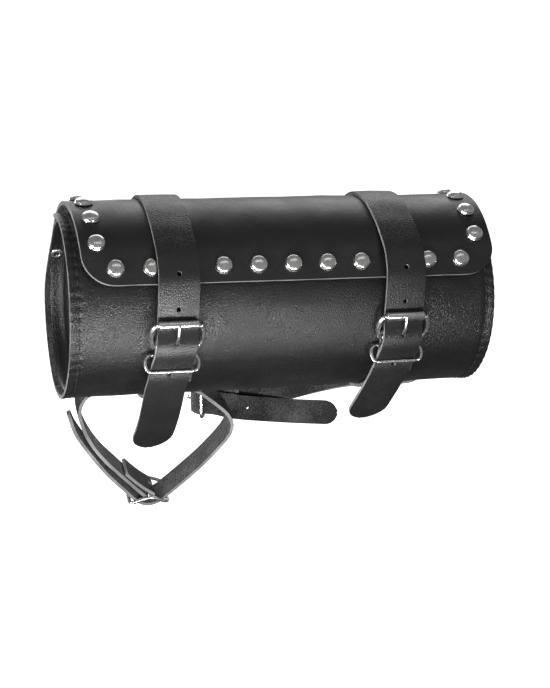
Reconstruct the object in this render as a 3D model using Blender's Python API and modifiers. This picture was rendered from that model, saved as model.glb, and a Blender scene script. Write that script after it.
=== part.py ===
"""A cylindrical leather tool roll for a motorcycle, as separate pieces.

Frame: metres. +X runs along the barrel to the wearer's right seen from the front, -Y is the front
and +Z is up. The origin is on the barrel's axis, halfway along it.

An angle called a lap angle goes round the barrel from the front (0), over the top (90), to the back
(180) and on to the underside (270, which is also -90).
"""
import math

import bmesh
import bpy
from mathutils import Matrix, Vector

# ---------------------------------------------------------------- driving dimensions
BARREL_LENGTH = 0.305
BARREL_RADIUS = 0.065
LEATHER = 0.003
STRAP_LEATHER = 0.0026
GAP = 0.0004
LIP_ANGLE = 96.0
HINGE_ANGLE = 130.0
HINGE_SLOT = 0.3
BODY_STEP = 7.5

FLAP_RISE = 0.009
FLAP_FALL = 0.0016
FLAP_RISE_SPAN = 90.0
FLAP_EDGE_ANGLE = 16.5
FLAP_FRONT_HALF = 0.1475
FLAP_BACK_HALF = 0.1515
FLAP_SHIFT = 0.0040
FLAP_CORNER = 0.022
FLAP_TAPER_ANGLE = 35.0
FLAP_STEP = 6.0
CORNER_ROWS = 6
BACK_ANGLE = 180.0
TOP_ANGLE = 90.0
NORMAL_STEP = 0.5

STUD_SHIFT = 0.0022
STUD_PITCH = 0.0247
STUD_ROW = 11
STUD_EDGE = 0.0115
STUD_SIDE_ANGLES = (41.0, 60.0, 79.0, 98.0, 117.0)
STUD_BACK_ANGLE = 147.0
STUD_RADIUS = 0.00635
STUD_HEIGHT = 0.0036
STUD_SHANK = 0.0018
STUD_ROLLED_RADIUS = 0.0038
STUD_LIP = 0.0004
DOME_ROWS = 4
HOLE_EXTRA = 0.004

PANEL_INSET = 0.014
PANEL_RADIUS = BARREL_RADIUS - LEATHER - GAP
PANEL_RIM_GAP = 0.0032
PANEL_STEPS = 48

STRAP_WIDTH = 0.028
BUCKLE_STRAP_WIDTH = 0.027
LEFT_STRAP_X = -0.0800
RIGHT_STRAP_X = 0.0815
HEEL_ANGLE = -18.5
HEEL_RADIUS = 0.0700
FRAME_WIRE = 0.0018
FRAME_LENGTH = 0.018
FRAME_SIDE = [(0.0150, 0.0), (0.0166, 0.0012), (0.0178, 0.0045), (0.0181, 0.0095), (0.0172, 0.0145),
              (0.0158, 0.0172), (0.0145, 0.0180)]
FRAME_RADIUS = 0.073
BUCKLE_SHIFT = 0.0012
ROLLER_LIFT = 0.0062
ROLLER_RADIUS = 0.00315
ROLLER_LENGTH = 0.0275
PRONG_WIRE = 0.0014
PRONG_SHIFT = 0.0018
PRONG_START = (0.55, 0.86)
PRONG_LAPS = [(0.0757, -15.3), (0.0781, -13.4), (0.0801, -10.2)]
PRONG_TIP_ANGLE = HEEL_ANGLE + 13.3
PRONG_TIP_TURN = 0.9
PRONG_SLOT = (0.0150, 0.0125)
PRONG_SLOT_SHIFT = (0.0012, 0.0010)
KEEPER_WIRE = 0.0012
KEEPER_ANGLE = -24.5
KEEPER_RADIUS = 0.0694
KEEPER_WIDTH = 0.0368
KEEPER_DROP = 0.0118
KEEPER_TILT = 45.0
KEEPER_SHIFT = 0.0038
KEEPER_CORNER = 0.34
KEEPER_CURVE = (0.35, 0.28)
KEEPER_ROOM = 2.6
HOLE_PITCH = 0.024
FREE_HOLES = (-2, -1, 1)
HOLE_RADIUS = 0.0017
HOLE_DEPTH = 0.006
PIERCED = (0.0758, -15.5)
CLOSING_RIVET_ANGLE = 118.0
CLOSING_RIVET_SPARE = 0.0008
BUCKLE_RIVET_ANGLE = -39.5
# Places on a closing strap: a lap angle, how far it is raised off the flap and how far it drifts sideways.
ON_FLAP = [(123.0, 0.0), (108.0, 0.0), (90.0, 0.0), (70.0, 0.0), (52.0, 0.0004), (40.0, 0.0022)]
OVER_STUDS = [(31.0, 0.0), (25.0, 0.0002), (18.0, -0.0005)]
BELOW_FLAP = [(10.0, 0.0752, -0.0003), (2.0, 0.0726, -0.0005), (-4.5, 0.0713, -0.0008),
              (-9.0, 0.0724, -0.0011), (-12.5, 0.0741, -0.0014), (-15.5, 0.0758, -0.0018),
              (-18.5, 0.0767, -0.0023), (-22.0, 0.0766, -0.0030), (-26.0, 0.0758, -0.0038),
              (-30.0, 0.0753, -0.0047)]
LEFT_TAIL = [(-0.0062, -0.0628, -0.0446), (-0.0090, -0.0570, -0.0545), (-0.0106, -0.0496, -0.0660),
             (-0.0120, -0.0405, -0.0785), (-0.0130, -0.0305, -0.0905), (-0.0136, -0.0215, -0.0995)]
RIGHT_TAIL = [(-0.0068, -0.0628, -0.0446), (-0.0098, -0.0560, -0.0560), (-0.0134, -0.0470, -0.0680),
              (-0.0158, -0.0365, -0.0790), (-0.0172, -0.0290, -0.0855)]
# The buckle strap's fold: lap angles under the barrel side, by the layer that each place lies in.
FOLD_ON_STRAP = [(-45.0, 0.0), (-40.0, 0.0), (-34.0, 0.0003)]
FOLD_ON_KEEPER = [(-28.5, -0.0008), (KEEPER_ANGLE, 0.0002)]
FOLD_AT_HEEL = (-20.5, -0.0001)
FOLD_TURNS = 36.0
STRAP_REAR = (-23.0, -128.0)

MOUNT_WIDTH = 0.019
MOUNT_LEATHER = 0.0025
MOUNT_ANGLE = 241.6
MOUNT_BAR = 0.0014
MOUNT_FRAME_HALF_WIDTH = 0.0122
MOUNT_PRONG_WIRE = 0.0010
MOUNT_BOW = 0.0026
MOUNT_CORNER = 0.16
MOUNT_RIVET_SHIFT = 0.0075
MOUNT_SLOT = 0.0096
MOUNT_SLOT_SHIFT = 0.0004
LEFT_BAR = (-0.0735, 0.1115)
LEFT_BAR_ENDS = ((-0.0590, 0.1165), (-0.0890, 0.1160))
LEFT_TONGUE = [(-0.0722, 0.1146), (-0.0695, 0.1175), (-0.0650, 0.1200), (-0.0600, 0.1203),
               (-0.0580, 0.1198)]
RIGHT_BAR = (-0.0300, 0.0770)
RIGHT_BAR_ENDS = ((-0.0345, 0.0912), (-0.0345, 0.0628))
RIGHT_TONGUE = [(-0.0332, 0.0782), (-0.0362, 0.0800), (-0.0394, 0.0840), (-0.0396, 0.0895),
                (-0.0378, 0.0924)]
RIGHT_BUCKLE_Z = -0.0855
FOLD_RIVET = (-0.0075, 0.0744)
FOLD_RIVET_GRIP = 0.0052
# The left mounting strap, in its own hanging plane: along the barrel, and out from the barrel's surface.
LEFT_WRAP = (-42.0, 132.0)
LEFT_FOLD = [(-0.0930, 0.0884), (-0.0860, 0.0962), (-0.0790, 0.1030)]
LEFT_BRANCH = [(-0.0840, 0.1046), (-0.0920, 0.0957), (-0.1016, 0.0846), (-0.1110, 0.0735), (-0.1198, 0.0606),
               (-0.1262, 0.0480), (-0.1300, 0.0380), (-0.1324, 0.0290), (-0.1322, 0.0200), (-0.1286, 0.0120),
               (-0.1215, 0.0068)]
LEFT_RIVETED_X = (-0.1110, -0.0985, -0.0820, -0.0660)
LEFT_LIFT_OFF = (-0.0560, 0.0010)
LEFT_LOOP = [(-0.0470, 0.0095), (-0.0375, 0.0170), (-0.0280, 0.0254), (-0.0205, 0.0330), (-0.0155, 0.0415),
             (-0.0145, 0.0490), (-0.0172, 0.0580), (-0.0237, 0.0690), (-0.0345, 0.0840), (-0.0455, 0.0970),
             (-0.0545, 0.1070), (-0.0600, 0.1128), (-0.0645, 0.1172), (-0.0690, 0.1198), (-0.0740, 0.1206),
             (-0.0795, 0.1190), (-0.0848, 0.1148), (-0.0893, 0.1099), (-0.0937, 0.1046), (-0.1041, 0.0924),
             (-0.1146, 0.0783), (-0.1249, 0.0627), (-0.1342, 0.0463), (-0.1395, 0.0325)]
# The right mounting strap, as points in space.
RIGHT_WRAP = (270.0, 90.0)
RIGHT_FOLD = [(-0.0020, 0.0744, -0.0855), (-0.0130, 0.0742, -0.0855), (-0.0230, 0.0740, -0.0855)]
RIGHT_RUN = [(-0.0230, 0.0798, -0.0855), (-0.0130, 0.0788, -0.0855), (-0.0010, 0.0774, -0.0850),
             (0.0130, 0.0755, -0.0835), (0.0340, 0.0710, -0.0800), (0.0570, 0.0640, -0.0740),
             (0.0790, 0.0570, -0.0700), (0.0980, 0.0505, -0.0690), (0.1140, 0.0450, -0.0690),
             (0.1250, 0.0410, -0.0680), (0.1300, 0.0375, -0.0650), (0.1265, 0.0345, -0.0622)]
RIGHT_RIVETED_X = (0.1170, 0.0960, 0.0650)
RIGHT_BACK = [(0.0450, 0.0375, -0.0600), (0.0270, 0.0520, -0.0620), (0.0120, 0.0730, -0.0690),
              (-0.0020, 0.0870, -0.0770), (-0.0140, 0.0925, -0.0830), (-0.0260, 0.0906, -0.0855),
              (-0.0318, 0.0885, -0.0855), (-0.0362, 0.0840, -0.0855), (-0.0380, 0.0770, -0.0855),
              (-0.0368, 0.0704, -0.0855), (-0.0322, 0.0657, -0.0858), (-0.0240, 0.0662, -0.0872),
              (-0.0090, 0.0684, -0.0915), (0.0120, 0.0682, -0.0945), (0.0400, 0.0668, -0.0975),
              (0.0630, 0.0660, -0.0995), (0.0760, 0.0660, -0.1005)]
RIGHT_UPRIGHT_X = -0.014
RIVET_RADIUS = 0.0048
RIVET_BORE = 0.0013
RIVET_SHANK = 0.0021
RIVET_FLANGE = 0.0009
RIVET_SHOULDER = 0.6

ROUND_STEPS = 12
WIRE_FACES = 2
WELD = 0.00002
JOINED_WIRE = 0.98
RING_STEP = 30.0
STRAP_SPACING = 0.0035
FOLD_SPACING = 0.004
PRONG_SPACING = 0.003
MOUNT_SPACING = 0.006
TIP_SHARE = 0.12
TIP_TURNS = (20, 40, 55, 67, 76, 83, 90)


# ---------------------------------------------------------------- the scene and its materials
def clear_scene():
    for item in list(bpy.data.objects):
        bpy.data.objects.remove(item, do_unlink=True)


def new_collection(name):
    collection = bpy.data.collections.new(name)
    bpy.context.scene.collection.children.link(collection)
    return collection


def material(name, colour, roughness, metallic):
    made = bpy.data.materials.new(name)
    made.use_nodes = True
    shader = made.node_tree.nodes["Principled BSDF"]
    shader.inputs["Base Color"].default_value = (*colour, 1.0)
    shader.inputs["Roughness"].default_value = roughness
    shader.inputs["Metallic"].default_value = metallic
    made.diffuse_color = (*colour, 1.0)
    return made


clear_scene()
PARTS = new_collection("leather_tool_roll")
CUTTERS = new_collection("cutters")
BLACK_LEATHER = material("black_leather", (0.022, 0.022, 0.023), 0.42, 0.0)
STRAP_BLACK = material("strap_leather", (0.026, 0.026, 0.027), 0.46, 0.0)
SUEDE = material("suede_side", (0.060, 0.060, 0.061), 0.92, 0.0)
NICKEL = material("nickel_plate", (0.70, 0.70, 0.71), 0.22, 1.0)


# ---------------------------------------------------------------- small geometry helpers
SIDEWAYS = Vector((1.0, 0.0, 0.0))
ALONG_Y = Vector((0.0, 1.0, 0.0))
UPRIGHT = Vector((0.0, 0.0, 1.0))


def lap_point(radius, angle, x=0.0):
    """The point at a lap angle and a distance from the barrel's axis."""
    turn = math.radians(angle)
    return Vector((x, -radius * math.cos(turn), radius * math.sin(turn)))


def outward(angle):
    return lap_point(1.0, angle)


def round_the_barrel(angle):
    """The direction in which a lap angle grows."""
    turn = math.radians(angle)
    return Vector((0.0, math.sin(turn), math.cos(turn)))


def smoothstep(value):
    value = min(max(value, 0.0), 1.0)
    return value * value * (3.0 - 2.0 * value)


def flap_radius(angle):
    """Outer radius of the sheet on its second lap: it leaves the barrel and stands off over the lip."""
    rise = FLAP_RISE * smoothstep((BACK_ANGLE - angle) / FLAP_RISE_SPAN)
    fall = FLAP_FALL * smoothstep((TOP_ANGLE - angle) / FLAP_RISE_SPAN)
    return BARREL_RADIUS + rise - fall


def flap_normal(angle):
    ahead, behind = angle + NORMAL_STEP, angle - NORMAL_STEP
    course = lap_point(flap_radius(ahead), ahead) - lap_point(flap_radius(behind), behind)
    return Vector((0.0, -course.z, course.y)).normalized()


def steps_between(first, last, step):
    """Evenly spaced values from first to last, about one step apart."""
    count = max(1, round(abs(last - first) / step))
    return [first + (last - first) * index / count for index in range(count + 1)]


def smooth_path(points, spacing):
    """A Catmull-Rom curve through the points, read off at about the spacing."""
    points = [Vector(point) for point in points]
    ends = [points[0] * 2.0 - points[1], *points, points[-1] * 2.0 - points[-2]]
    path = [points[0]]
    for index in range(1, len(ends) - 2):
        before, start, end, after = ends[index - 1:index + 3]
        count = max(1, math.ceil((end - start).length / spacing))
        for part in range(1, count + 1):
            t = part / count
            path.append(0.5 * (2.0 * start + (end - before) * t
                               + (2.0 * before - 5.0 * start + 4.0 * end - after) * t ** 2
                               + (3.0 * start - before - 3.0 * end + after) * t ** 3))
    return path


def link(name, mesh, paint, collection=PARTS):
    piece = bpy.data.objects.new(name, mesh)
    collection.objects.link(piece)
    mesh.materials.clear()
    if paint:
        mesh.materials.append(paint)
    if collection is CUTTERS:
        piece.hide_render = True
        piece.display_type = "WIRE"
    return piece


# ---------------------------------------------------------------- makers
def sheet(name, rows, thickness, offset, paint):
    """A leather sheet: a strip of rows, each a left and a right edge point, given its thickness."""
    work = bmesh.new()
    pairs = [[work.verts.new(point) for point in row] for row in rows]
    for (left, right), (next_left, next_right) in zip(pairs, pairs[1:]):
        work.faces.new((left, right, next_right, next_left))
    mesh = bpy.data.meshes.new(name)
    work.to_mesh(mesh)
    work.free()
    piece = link(name, mesh, paint)
    solid = piece.modifiers.new("thickness", "SOLIDIFY")
    solid.thickness = thickness
    solid.offset = offset
    solid.use_even_offset = True
    return piece


def rounded_end(half, distance):
    """Half width of a strap near its round tip, at a distance from the tip."""
    if distance >= half:
        return half
    return math.sqrt(max(half ** 2 - (half - distance) ** 2, (TIP_SHARE * half) ** 2))


def strap(name, path, across, width, thickness, paint, round_tip=False):
    """A strap of rows along a path; across gives the width direction at each point."""
    half = width / 2.0
    rest = [0.0]
    for here, there in zip(reversed(path[1:]), reversed(path[:-1])):
        rest.append(rest[-1] + (here - there).length)
    rest.reverse()
    rows = []
    for point, direction, distance in zip(path, across, rest):
        reach = direction.normalized() * (rounded_end(half, distance) if round_tip else half)
        rows.append((point - reach, point + reach))
    return sheet(name, rows, thickness, 0.0, paint)


def tube(name, path, radius, paint, closed=False, collection=PARTS):
    """A round wire: a bevelled curve turned into a mesh with its caps welded."""
    data = bpy.data.curves.new(name, "CURVE")
    data.dimensions = "3D"
    data.bevel_depth = radius
    data.bevel_resolution = WIRE_FACES
    data.use_fill_caps = True
    spline = data.splines.new("POLY")
    spline.points.add(len(path) - 1)
    for slot, point in zip(spline.points, path):
        slot.co = (*point, 1.0)
    spline.use_cyclic_u = closed
    guide = bpy.data.objects.new(name + "_curve", data)
    CUTTERS.objects.link(guide)
    bpy.context.view_layer.update()
    mesh = bpy.data.meshes.new_from_object(guide.evaluated_get(bpy.context.evaluated_depsgraph_get()))
    place = guide.matrix_world.copy()
    bpy.data.objects.remove(guide, do_unlink=True)
    work = bmesh.new()
    work.from_mesh(mesh)
    bmesh.ops.remove_doubles(work, verts=work.verts, dist=WELD)
    bmesh.ops.recalc_face_normals(work, faces=work.faces)
    work.to_mesh(mesh)
    work.free()
    piece = link(name, mesh, paint, collection)
    piece.matrix_world = place
    return piece


def turned(name, profile, place, paint, closed_profile=False, collection=PARTS):
    """A turned piece: a profile of (radius, height) points swept round its own Z axis."""
    mesh = bpy.data.meshes.new(name)
    points = [(radius, 0.0, height) for radius, height in profile]
    edges = [(index, index + 1) for index in range(len(points) - 1)]
    if closed_profile:
        edges.append((len(points) - 1, 0))
    mesh.from_pydata(points, edges, [])
    piece = link(name, mesh, paint, collection)
    screw = piece.modifiers.new("turn", "SCREW")
    screw.steps = ROUND_STEPS
    screw.render_steps = ROUND_STEPS
    screw.use_merge_vertices = True
    screw.merge_threshold = WELD
    piece.matrix_world = place
    return piece


def frame_at(point, axis, side=SIDEWAYS):
    """A placing matrix at the point, with its Z on the axis and its X near the side direction."""
    up = axis.normalized()
    across = (side - up * side.dot(up)).normalized()
    other = up.cross(across)
    turn = Matrix((across, other, up)).transposed().to_4x4()
    return Matrix.Translation(point) @ turn


def peg(name, point, axis, radius, length):
    """A round cutter centred on the point."""
    work = bmesh.new()
    bmesh.ops.create_cone(work, cap_ends=True, segments=ROUND_STEPS, radius1=radius, radius2=radius,
                          depth=length)
    mesh = bpy.data.meshes.new(name)
    work.to_mesh(mesh)
    work.free()
    piece = link(name, mesh, None, CUTTERS)
    piece.matrix_world = frame_at(point, axis)
    return piece


def slot_block(name, point, axis, side, size):
    """A square cutter centred on the point, with its Z on the axis and its X on the side direction."""
    work = bmesh.new()
    bmesh.ops.create_cube(work, size=1.0)
    bmesh.ops.scale(work, vec=size, verts=work.verts)
    mesh = bpy.data.meshes.new(name)
    work.to_mesh(mesh)
    work.free()
    piece = link(name, mesh, None, CUTTERS)
    piece.matrix_world = frame_at(point, axis, side)
    return piece


def cut(piece, cutter, operation="DIFFERENCE"):
    change = piece.modifiers.new(cutter.name, "BOOLEAN")
    change.operation = operation
    change.solver = "EXACT"
    change.object = cutter


# ---------------------------------------------------------------- rivets and studs
STUD_HOLE = STUD_SHANK + GAP
RIVET_HOLE = RIVET_SHANK + GAP


def stud_profile(grip):
    """A dome rivet: the dome, the shank through the leather and the rolled end under it."""
    dome = []
    for index in range(DOME_ROWS + 1):
        turn = math.radians(TOP_ANGLE * index / DOME_ROWS)
        dome.append((STUD_RADIUS * math.sin(turn), GAP + STUD_HEIGHT * math.cos(turn)))
    under = -grip - GAP
    return [*dome[:-1], (STUD_RADIUS, GAP + STUD_LIP), (STUD_RADIUS, GAP), (STUD_SHANK, GAP),
            (STUD_SHANK, under), (STUD_ROLLED_RADIUS, under), (STUD_ROLLED_RADIUS, under - RIVET_FLANGE),
            (0.0, under - RIVET_FLANGE)]


def dome_stud(name, point, axis, grip, holed):
    """A stud whose dome sits on the outer surface at the point, and its hole in each sheet."""
    piece = turned(name, stud_profile(grip), frame_at(point, axis), NICKEL)
    hole = peg(name + "_hole", point - axis * grip / 2.0, axis, STUD_HOLE, grip + HOLE_EXTRA)
    for target in holed:
        cut(target, hole)
    return piece


def tube_rivet(name, point, axis, grip, holed):
    """A tubular rivet with a flange on both sides; the point is on the outer surface."""
    under = -grip - GAP
    shoulder = RIVET_FLANGE * RIVET_SHOULDER
    profile = [(RIVET_BORE, GAP + RIVET_FLANGE), (RIVET_RADIUS, GAP + shoulder), (RIVET_RADIUS, GAP),
               (RIVET_SHANK, GAP), (RIVET_SHANK, under), (RIVET_RADIUS, under),
               (RIVET_RADIUS, under - shoulder), (RIVET_BORE, under - RIVET_FLANGE)]
    piece = turned(name, profile, frame_at(point, axis), NICKEL, closed_profile=True)
    hole = peg(name + "_hole", point - axis * grip / 2.0, axis, RIVET_HOLE, grip + HOLE_EXTRA)
    for target in holed:
        cut(target, hole)
    return piece


# ---------------------------------------------------------------- the barrel
def barrel_rows():
    """The sheet from the front lip, down the front, under the barrel, up the back to the fold."""
    half = BARREL_LENGTH / 2.0
    rows = []
    for angle in steps_between(LIP_ANGLE, -BACK_ANGLE, BODY_STEP):
        centre = lap_point(BARREL_RADIUS, angle)
        rows.append((centre - SIDEWAYS * half, centre + SIDEWAYS * half))
    for angle in steps_between(BACK_ANGLE, HINGE_ANGLE + HINGE_SLOT, BODY_STEP)[1:]:
        centre = lap_point(flap_radius(angle), angle)
        left, right = flap_sides(angle)
        blend = smoothstep((BACK_ANGLE - angle) / (BACK_ANGLE - HINGE_ANGLE))
        rows.append((centre + SIDEWAYS * (-half + (left + half) * blend),
                     centre + SIDEWAYS * (half + (right - half) * blend)))
    return rows


def flap_sides(angle):
    """Where the flap's two side edges are, before its front corners are rounded."""
    share = min(max((angle - FLAP_TAPER_ANGLE) / (HINGE_ANGLE - FLAP_TAPER_ANGLE), 0.0), 1.0)
    half = FLAP_FRONT_HALF + (FLAP_BACK_HALF - FLAP_FRONT_HALF) * share
    return FLAP_SHIFT - half, FLAP_SHIFT + half


def flap_rows():
    corner_span = math.degrees(FLAP_CORNER / flap_radius(FLAP_EDGE_ANGLE))
    angles = steps_between(HINGE_ANGLE - HINGE_SLOT, FLAP_EDGE_ANGLE + corner_span, FLAP_STEP)
    turns = steps_between(0.0, TOP_ANGLE, TOP_ANGLE / CORNER_ROWS)[1:]
    angles += [FLAP_EDGE_ANGLE + corner_span * (1.0 - math.sin(math.radians(turn))) for turn in turns]
    rows = []
    for angle in angles:
        left, right = flap_sides(angle)
        beyond = (FLAP_EDGE_ANGLE + corner_span - angle) / corner_span
        if beyond > 0.0:
            inset = FLAP_CORNER * (1.0 - math.sqrt(max(1.0 - beyond ** 2, 0.0)))
            left += inset
            right -= inset
        centre = lap_point(flap_radius(angle), angle)
        rows.append((centre + SIDEWAYS * left, centre + SIDEWAYS * right))
    return rows


barrel_body = sheet("barrel_body", barrel_rows(), LEATHER, 1.0, BLACK_LEATHER)
flap_panel = sheet("flap_panel", flap_rows(), LEATHER, 1.0, BLACK_LEATHER)


def end_panel(name, side):
    """A round end with a flange turned outwards, as a thick-walled cup turned about the barrel's axis."""
    rim = BARREL_LENGTH / 2.0 - PANEL_RIM_GAP
    floor = BARREL_LENGTH / 2.0 - PANEL_INSET
    inner = PANEL_RADIUS - LEATHER
    profile = [(0.0, floor), (inner, floor), (inner, rim), (PANEL_RADIUS, rim),
               (PANEL_RADIUS, floor - LEATHER), (0.0, floor - LEATHER)]
    place = frame_at(Vector((0.0, 0.0, 0.0)), SIDEWAYS * side, UPRIGHT)
    piece = turned(name, profile, place, BLACK_LEATHER)
    for modifier in piece.modifiers:
        modifier.steps = PANEL_STEPS
        modifier.render_steps = PANEL_STEPS
    return piece


end_panel("end_panel_left", -1.0)
end_panel("end_panel_right", 1.0)


# ---------------------------------------------------------------- studs round the flap
def row_angle():
    return FLAP_EDGE_ANGLE + math.degrees(STUD_EDGE / flap_radius(FLAP_EDGE_ANGLE))


def flap_stud(name, x, angle, target):
    dome_stud(name, lap_point(flap_radius(angle), angle, x), flap_normal(angle), LEATHER, [target])


for index in range(STUD_ROW):
    x = STUD_SHIFT + (index - STUD_ROW // 2) * STUD_PITCH
    flap_stud(f"stud_front_{index + 1:02d}", x, row_angle(), flap_panel)
for number, angle in enumerate(STUD_SIDE_ANGLES, start=1):
    left, right = flap_sides(angle)
    flap_stud(f"stud_left_{number}", left + STUD_EDGE, angle, flap_panel)
    flap_stud(f"stud_right_{number}", right - STUD_EDGE, angle, flap_panel)
for side, name in ((0, "stud_back_left"), (1, "stud_back_right")):
    edge = flap_sides(STUD_BACK_ANGLE)[side]
    inset = STUD_EDGE if side == 0 else -STUD_EDGE
    flap_stud(name, edge + inset, STUD_BACK_ANGLE, barrel_body)


# ---------------------------------------------------------------- closing straps and their buckles
def buckle_geometry(centre_x):
    """Heel bar, roller bar and the direction between them, for the buckle at centre_x."""
    heel = lap_point(HEEL_RADIUS, HEEL_ANGLE, centre_x)
    reach = math.degrees(math.sqrt(FRAME_LENGTH ** 2 - ROLLER_LIFT ** 2) / FRAME_RADIUS)
    roller = lap_point(HEEL_RADIUS + ROLLER_LIFT, HEEL_ANGLE + reach, centre_x)
    return heel, roller, (roller - heel).normalized()


WRAP_RADIUS = FRAME_WIRE + GAP + STRAP_LEATHER / 2.0


def closing_strap_path(x):
    """The strap's middle layer, from its riveted end, over the flap and its studs, to its tip."""
    over = STRAP_LEATHER / 2.0 + GAP
    bump = STUD_HEIGHT + 2.0 * GAP
    places = [lap_point(flap_radius(angle) + over + lift, angle, x) for angle, lift in ON_FLAP]
    places += [lap_point(flap_radius(angle) + over + bump + lift, angle, x) for angle, lift in OVER_STUDS]
    places += [lap_point(radius, angle, x + drift) for angle, radius, drift in BELOW_FLAP]
    return places


def closing_strap(name, x, tail):
    """A 28 mm strap with punched holes; tail lists the hanging points past the keeper."""
    path = smooth_path([*closing_strap_path(x), *tail], STRAP_SPACING)
    rows = tip_points(path, STRAP_WIDTH / 2.0)
    across = [SIDEWAYS] * len(rows)
    piece = strap(name, rows, across, STRAP_WIDTH, STRAP_LEATHER, STRAP_BLACK, round_tip=True)
    return piece, path


def tip_points(path, half):
    """The path with its last stretch split more finely, for a round tip."""
    last = path[-1]
    kept = list(path)
    while (kept[-1] - last).length <= half:
        kept.pop()
    fine = [kept[-1].lerp(last, math.sin(math.radians(turn))) for turn in TIP_TURNS]
    return kept + fine


def along(path, start, distance):
    """The point and direction at a distance along the path from the place nearest to start."""
    lengths = [0.0]
    for a, b in zip(path, path[1:]):
        lengths.append(lengths[-1] + (b - a).length)
    nearest = min(range(len(path)), key=lambda index: (path[index] - start).length)
    wanted = lengths[nearest] + distance
    for index in range(len(path) - 1):
        if lengths[index] <= wanted <= lengths[index + 1]:
            share = (wanted - lengths[index]) / (lengths[index + 1] - lengths[index])
            return path[index].lerp(path[index + 1], share), (path[index + 1] - path[index]).normalized()
    return path[-1], (path[-1] - path[-2]).normalized()


def buckle_strap_path(x):
    """The lower strap: from its fold-back end, over the heel bar, down the front and under the barrel."""
    heel = lap_point(HEEL_RADIUS, HEEL_ANGLE, x)
    near = BARREL_RADIUS + GAP + STRAP_LEATHER / 2.0
    double = near + STRAP_LEATHER + GAP
    keeper_layer = KEEPER_RADIUS + KEEPER_WIRE + KEEPER_ROOM * GAP + STRAP_LEATHER / 2.0
    front = [lap_point(double + lift, angle, x) for angle, lift in FOLD_ON_STRAP]
    front += [lap_point(keeper_layer + lift, angle, x) for angle, lift in FOLD_ON_KEEPER]
    heel_angle, lift = FOLD_AT_HEEL
    front.append(lap_point(HEEL_RADIUS + WRAP_RADIUS + lift, heel_angle, x))
    normal = outward(HEEL_ANGLE)
    upward = round_the_barrel(HEEL_ANGLE)
    turns = [math.radians(turn) for turn in steps_between(0.0, BACK_ANGLE, FOLD_TURNS)]
    wrap = [heel + WRAP_RADIUS * (normal * math.cos(turn) + upward * math.sin(turn)) for turn in turns]
    rear = [lap_point(near, angle, x) for angle in steps_between(*STRAP_REAR, BODY_STEP)]
    return front, wrap, rear


def buckle_strap(name, x):
    front, wrap, rear = buckle_strap_path(x)
    path = smooth_path(front, FOLD_SPACING) + wrap + rear
    return strap(name, path, [-SIDEWAYS] * len(path), BUCKLE_STRAP_WIDTH, STRAP_LEATHER, STRAP_BLACK)


def buckle_frame(name, x):
    """The wire frame: a heel bar, bowed sides and the bar that the roller turns on."""
    heel, _, up = buckle_geometry(x)
    outline = FRAME_SIDE + [(-px, pz) for px, pz in reversed(FRAME_SIDE)]
    path = [heel + SIDEWAYS * px + up * pz for px, pz in outline]
    return tube(name, path, FRAME_WIRE, NICKEL, closed=True)


def buckle_roller(name, x):
    _, roller, up = buckle_geometry(x)
    half = ROLLER_LENGTH / 2.0
    bore = FRAME_WIRE + GAP
    profile = [(bore, half), (ROLLER_RADIUS, half), (ROLLER_RADIUS, -half), (bore, -half)]
    return turned(name, profile, frame_at(roller, SIDEWAYS, up), NICKEL, closed_profile=True)


def prong_path(x):
    """The prong's line from its ring on the heel bar, through the strap, to the roller's front."""
    heel = lap_point(HEEL_RADIUS, HEEL_ANGLE, x)
    ring = FRAME_WIRE + GAP + PRONG_WIRE
    out, up = PRONG_START
    start = heel + (outward(HEEL_ANGLE) * out + round_the_barrel(HEEL_ANGLE) * up) * ring
    rest = HEEL_RADIUS + ROLLER_LIFT + ROLLER_RADIUS + GAP + PRONG_WIRE
    tip = [lap_point(rest, PRONG_TIP_ANGLE, x), lap_point(rest - GAP, PRONG_TIP_ANGLE + PRONG_TIP_TURN, x)]
    return [start, *[lap_point(radius, angle, x) for radius, angle in PRONG_LAPS], *tip]


def buckle_prong(name, x, slotted, holed):
    """A wire prong: a ring round the heel bar joined to the tongue."""
    heel = lap_point(HEEL_RADIUS, HEEL_ANGLE, x)
    ring_radius = FRAME_WIRE + GAP + PRONG_WIRE
    out = outward(HEEL_ANGLE)
    up = round_the_barrel(HEEL_ANGLE)
    ring = [heel + ring_radius * (out * math.cos(math.radians(turn)) + up * math.sin(math.radians(turn)))
            for turn in steps_between(0.0, 2.0 * BACK_ANGLE, RING_STEP)[:-1]]
    piece = tube(name, ring, PRONG_WIRE, NICKEL, closed=True)
    path = smooth_path(prong_path(x), PRONG_SPACING)
    tongue = tube(name + "_tongue", path, PRONG_WIRE * JOINED_WIRE, NICKEL, collection=CUTTERS)
    cut(piece, tongue, "UNION")
    room = tube(name + "_hole", path, PRONG_WIRE + GAP, None, collection=CUTTERS)
    cut(holed, room)
    shift_out, shift_up = PRONG_SLOT_SHIFT
    slot = slot_block(name + "_slot", heel + out * shift_out + up * shift_up, SIDEWAYS, out,
                      (*PRONG_SLOT, 2.0 * (PRONG_WIRE + GAP)))
    cut(slotted, slot)
    return piece


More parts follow.
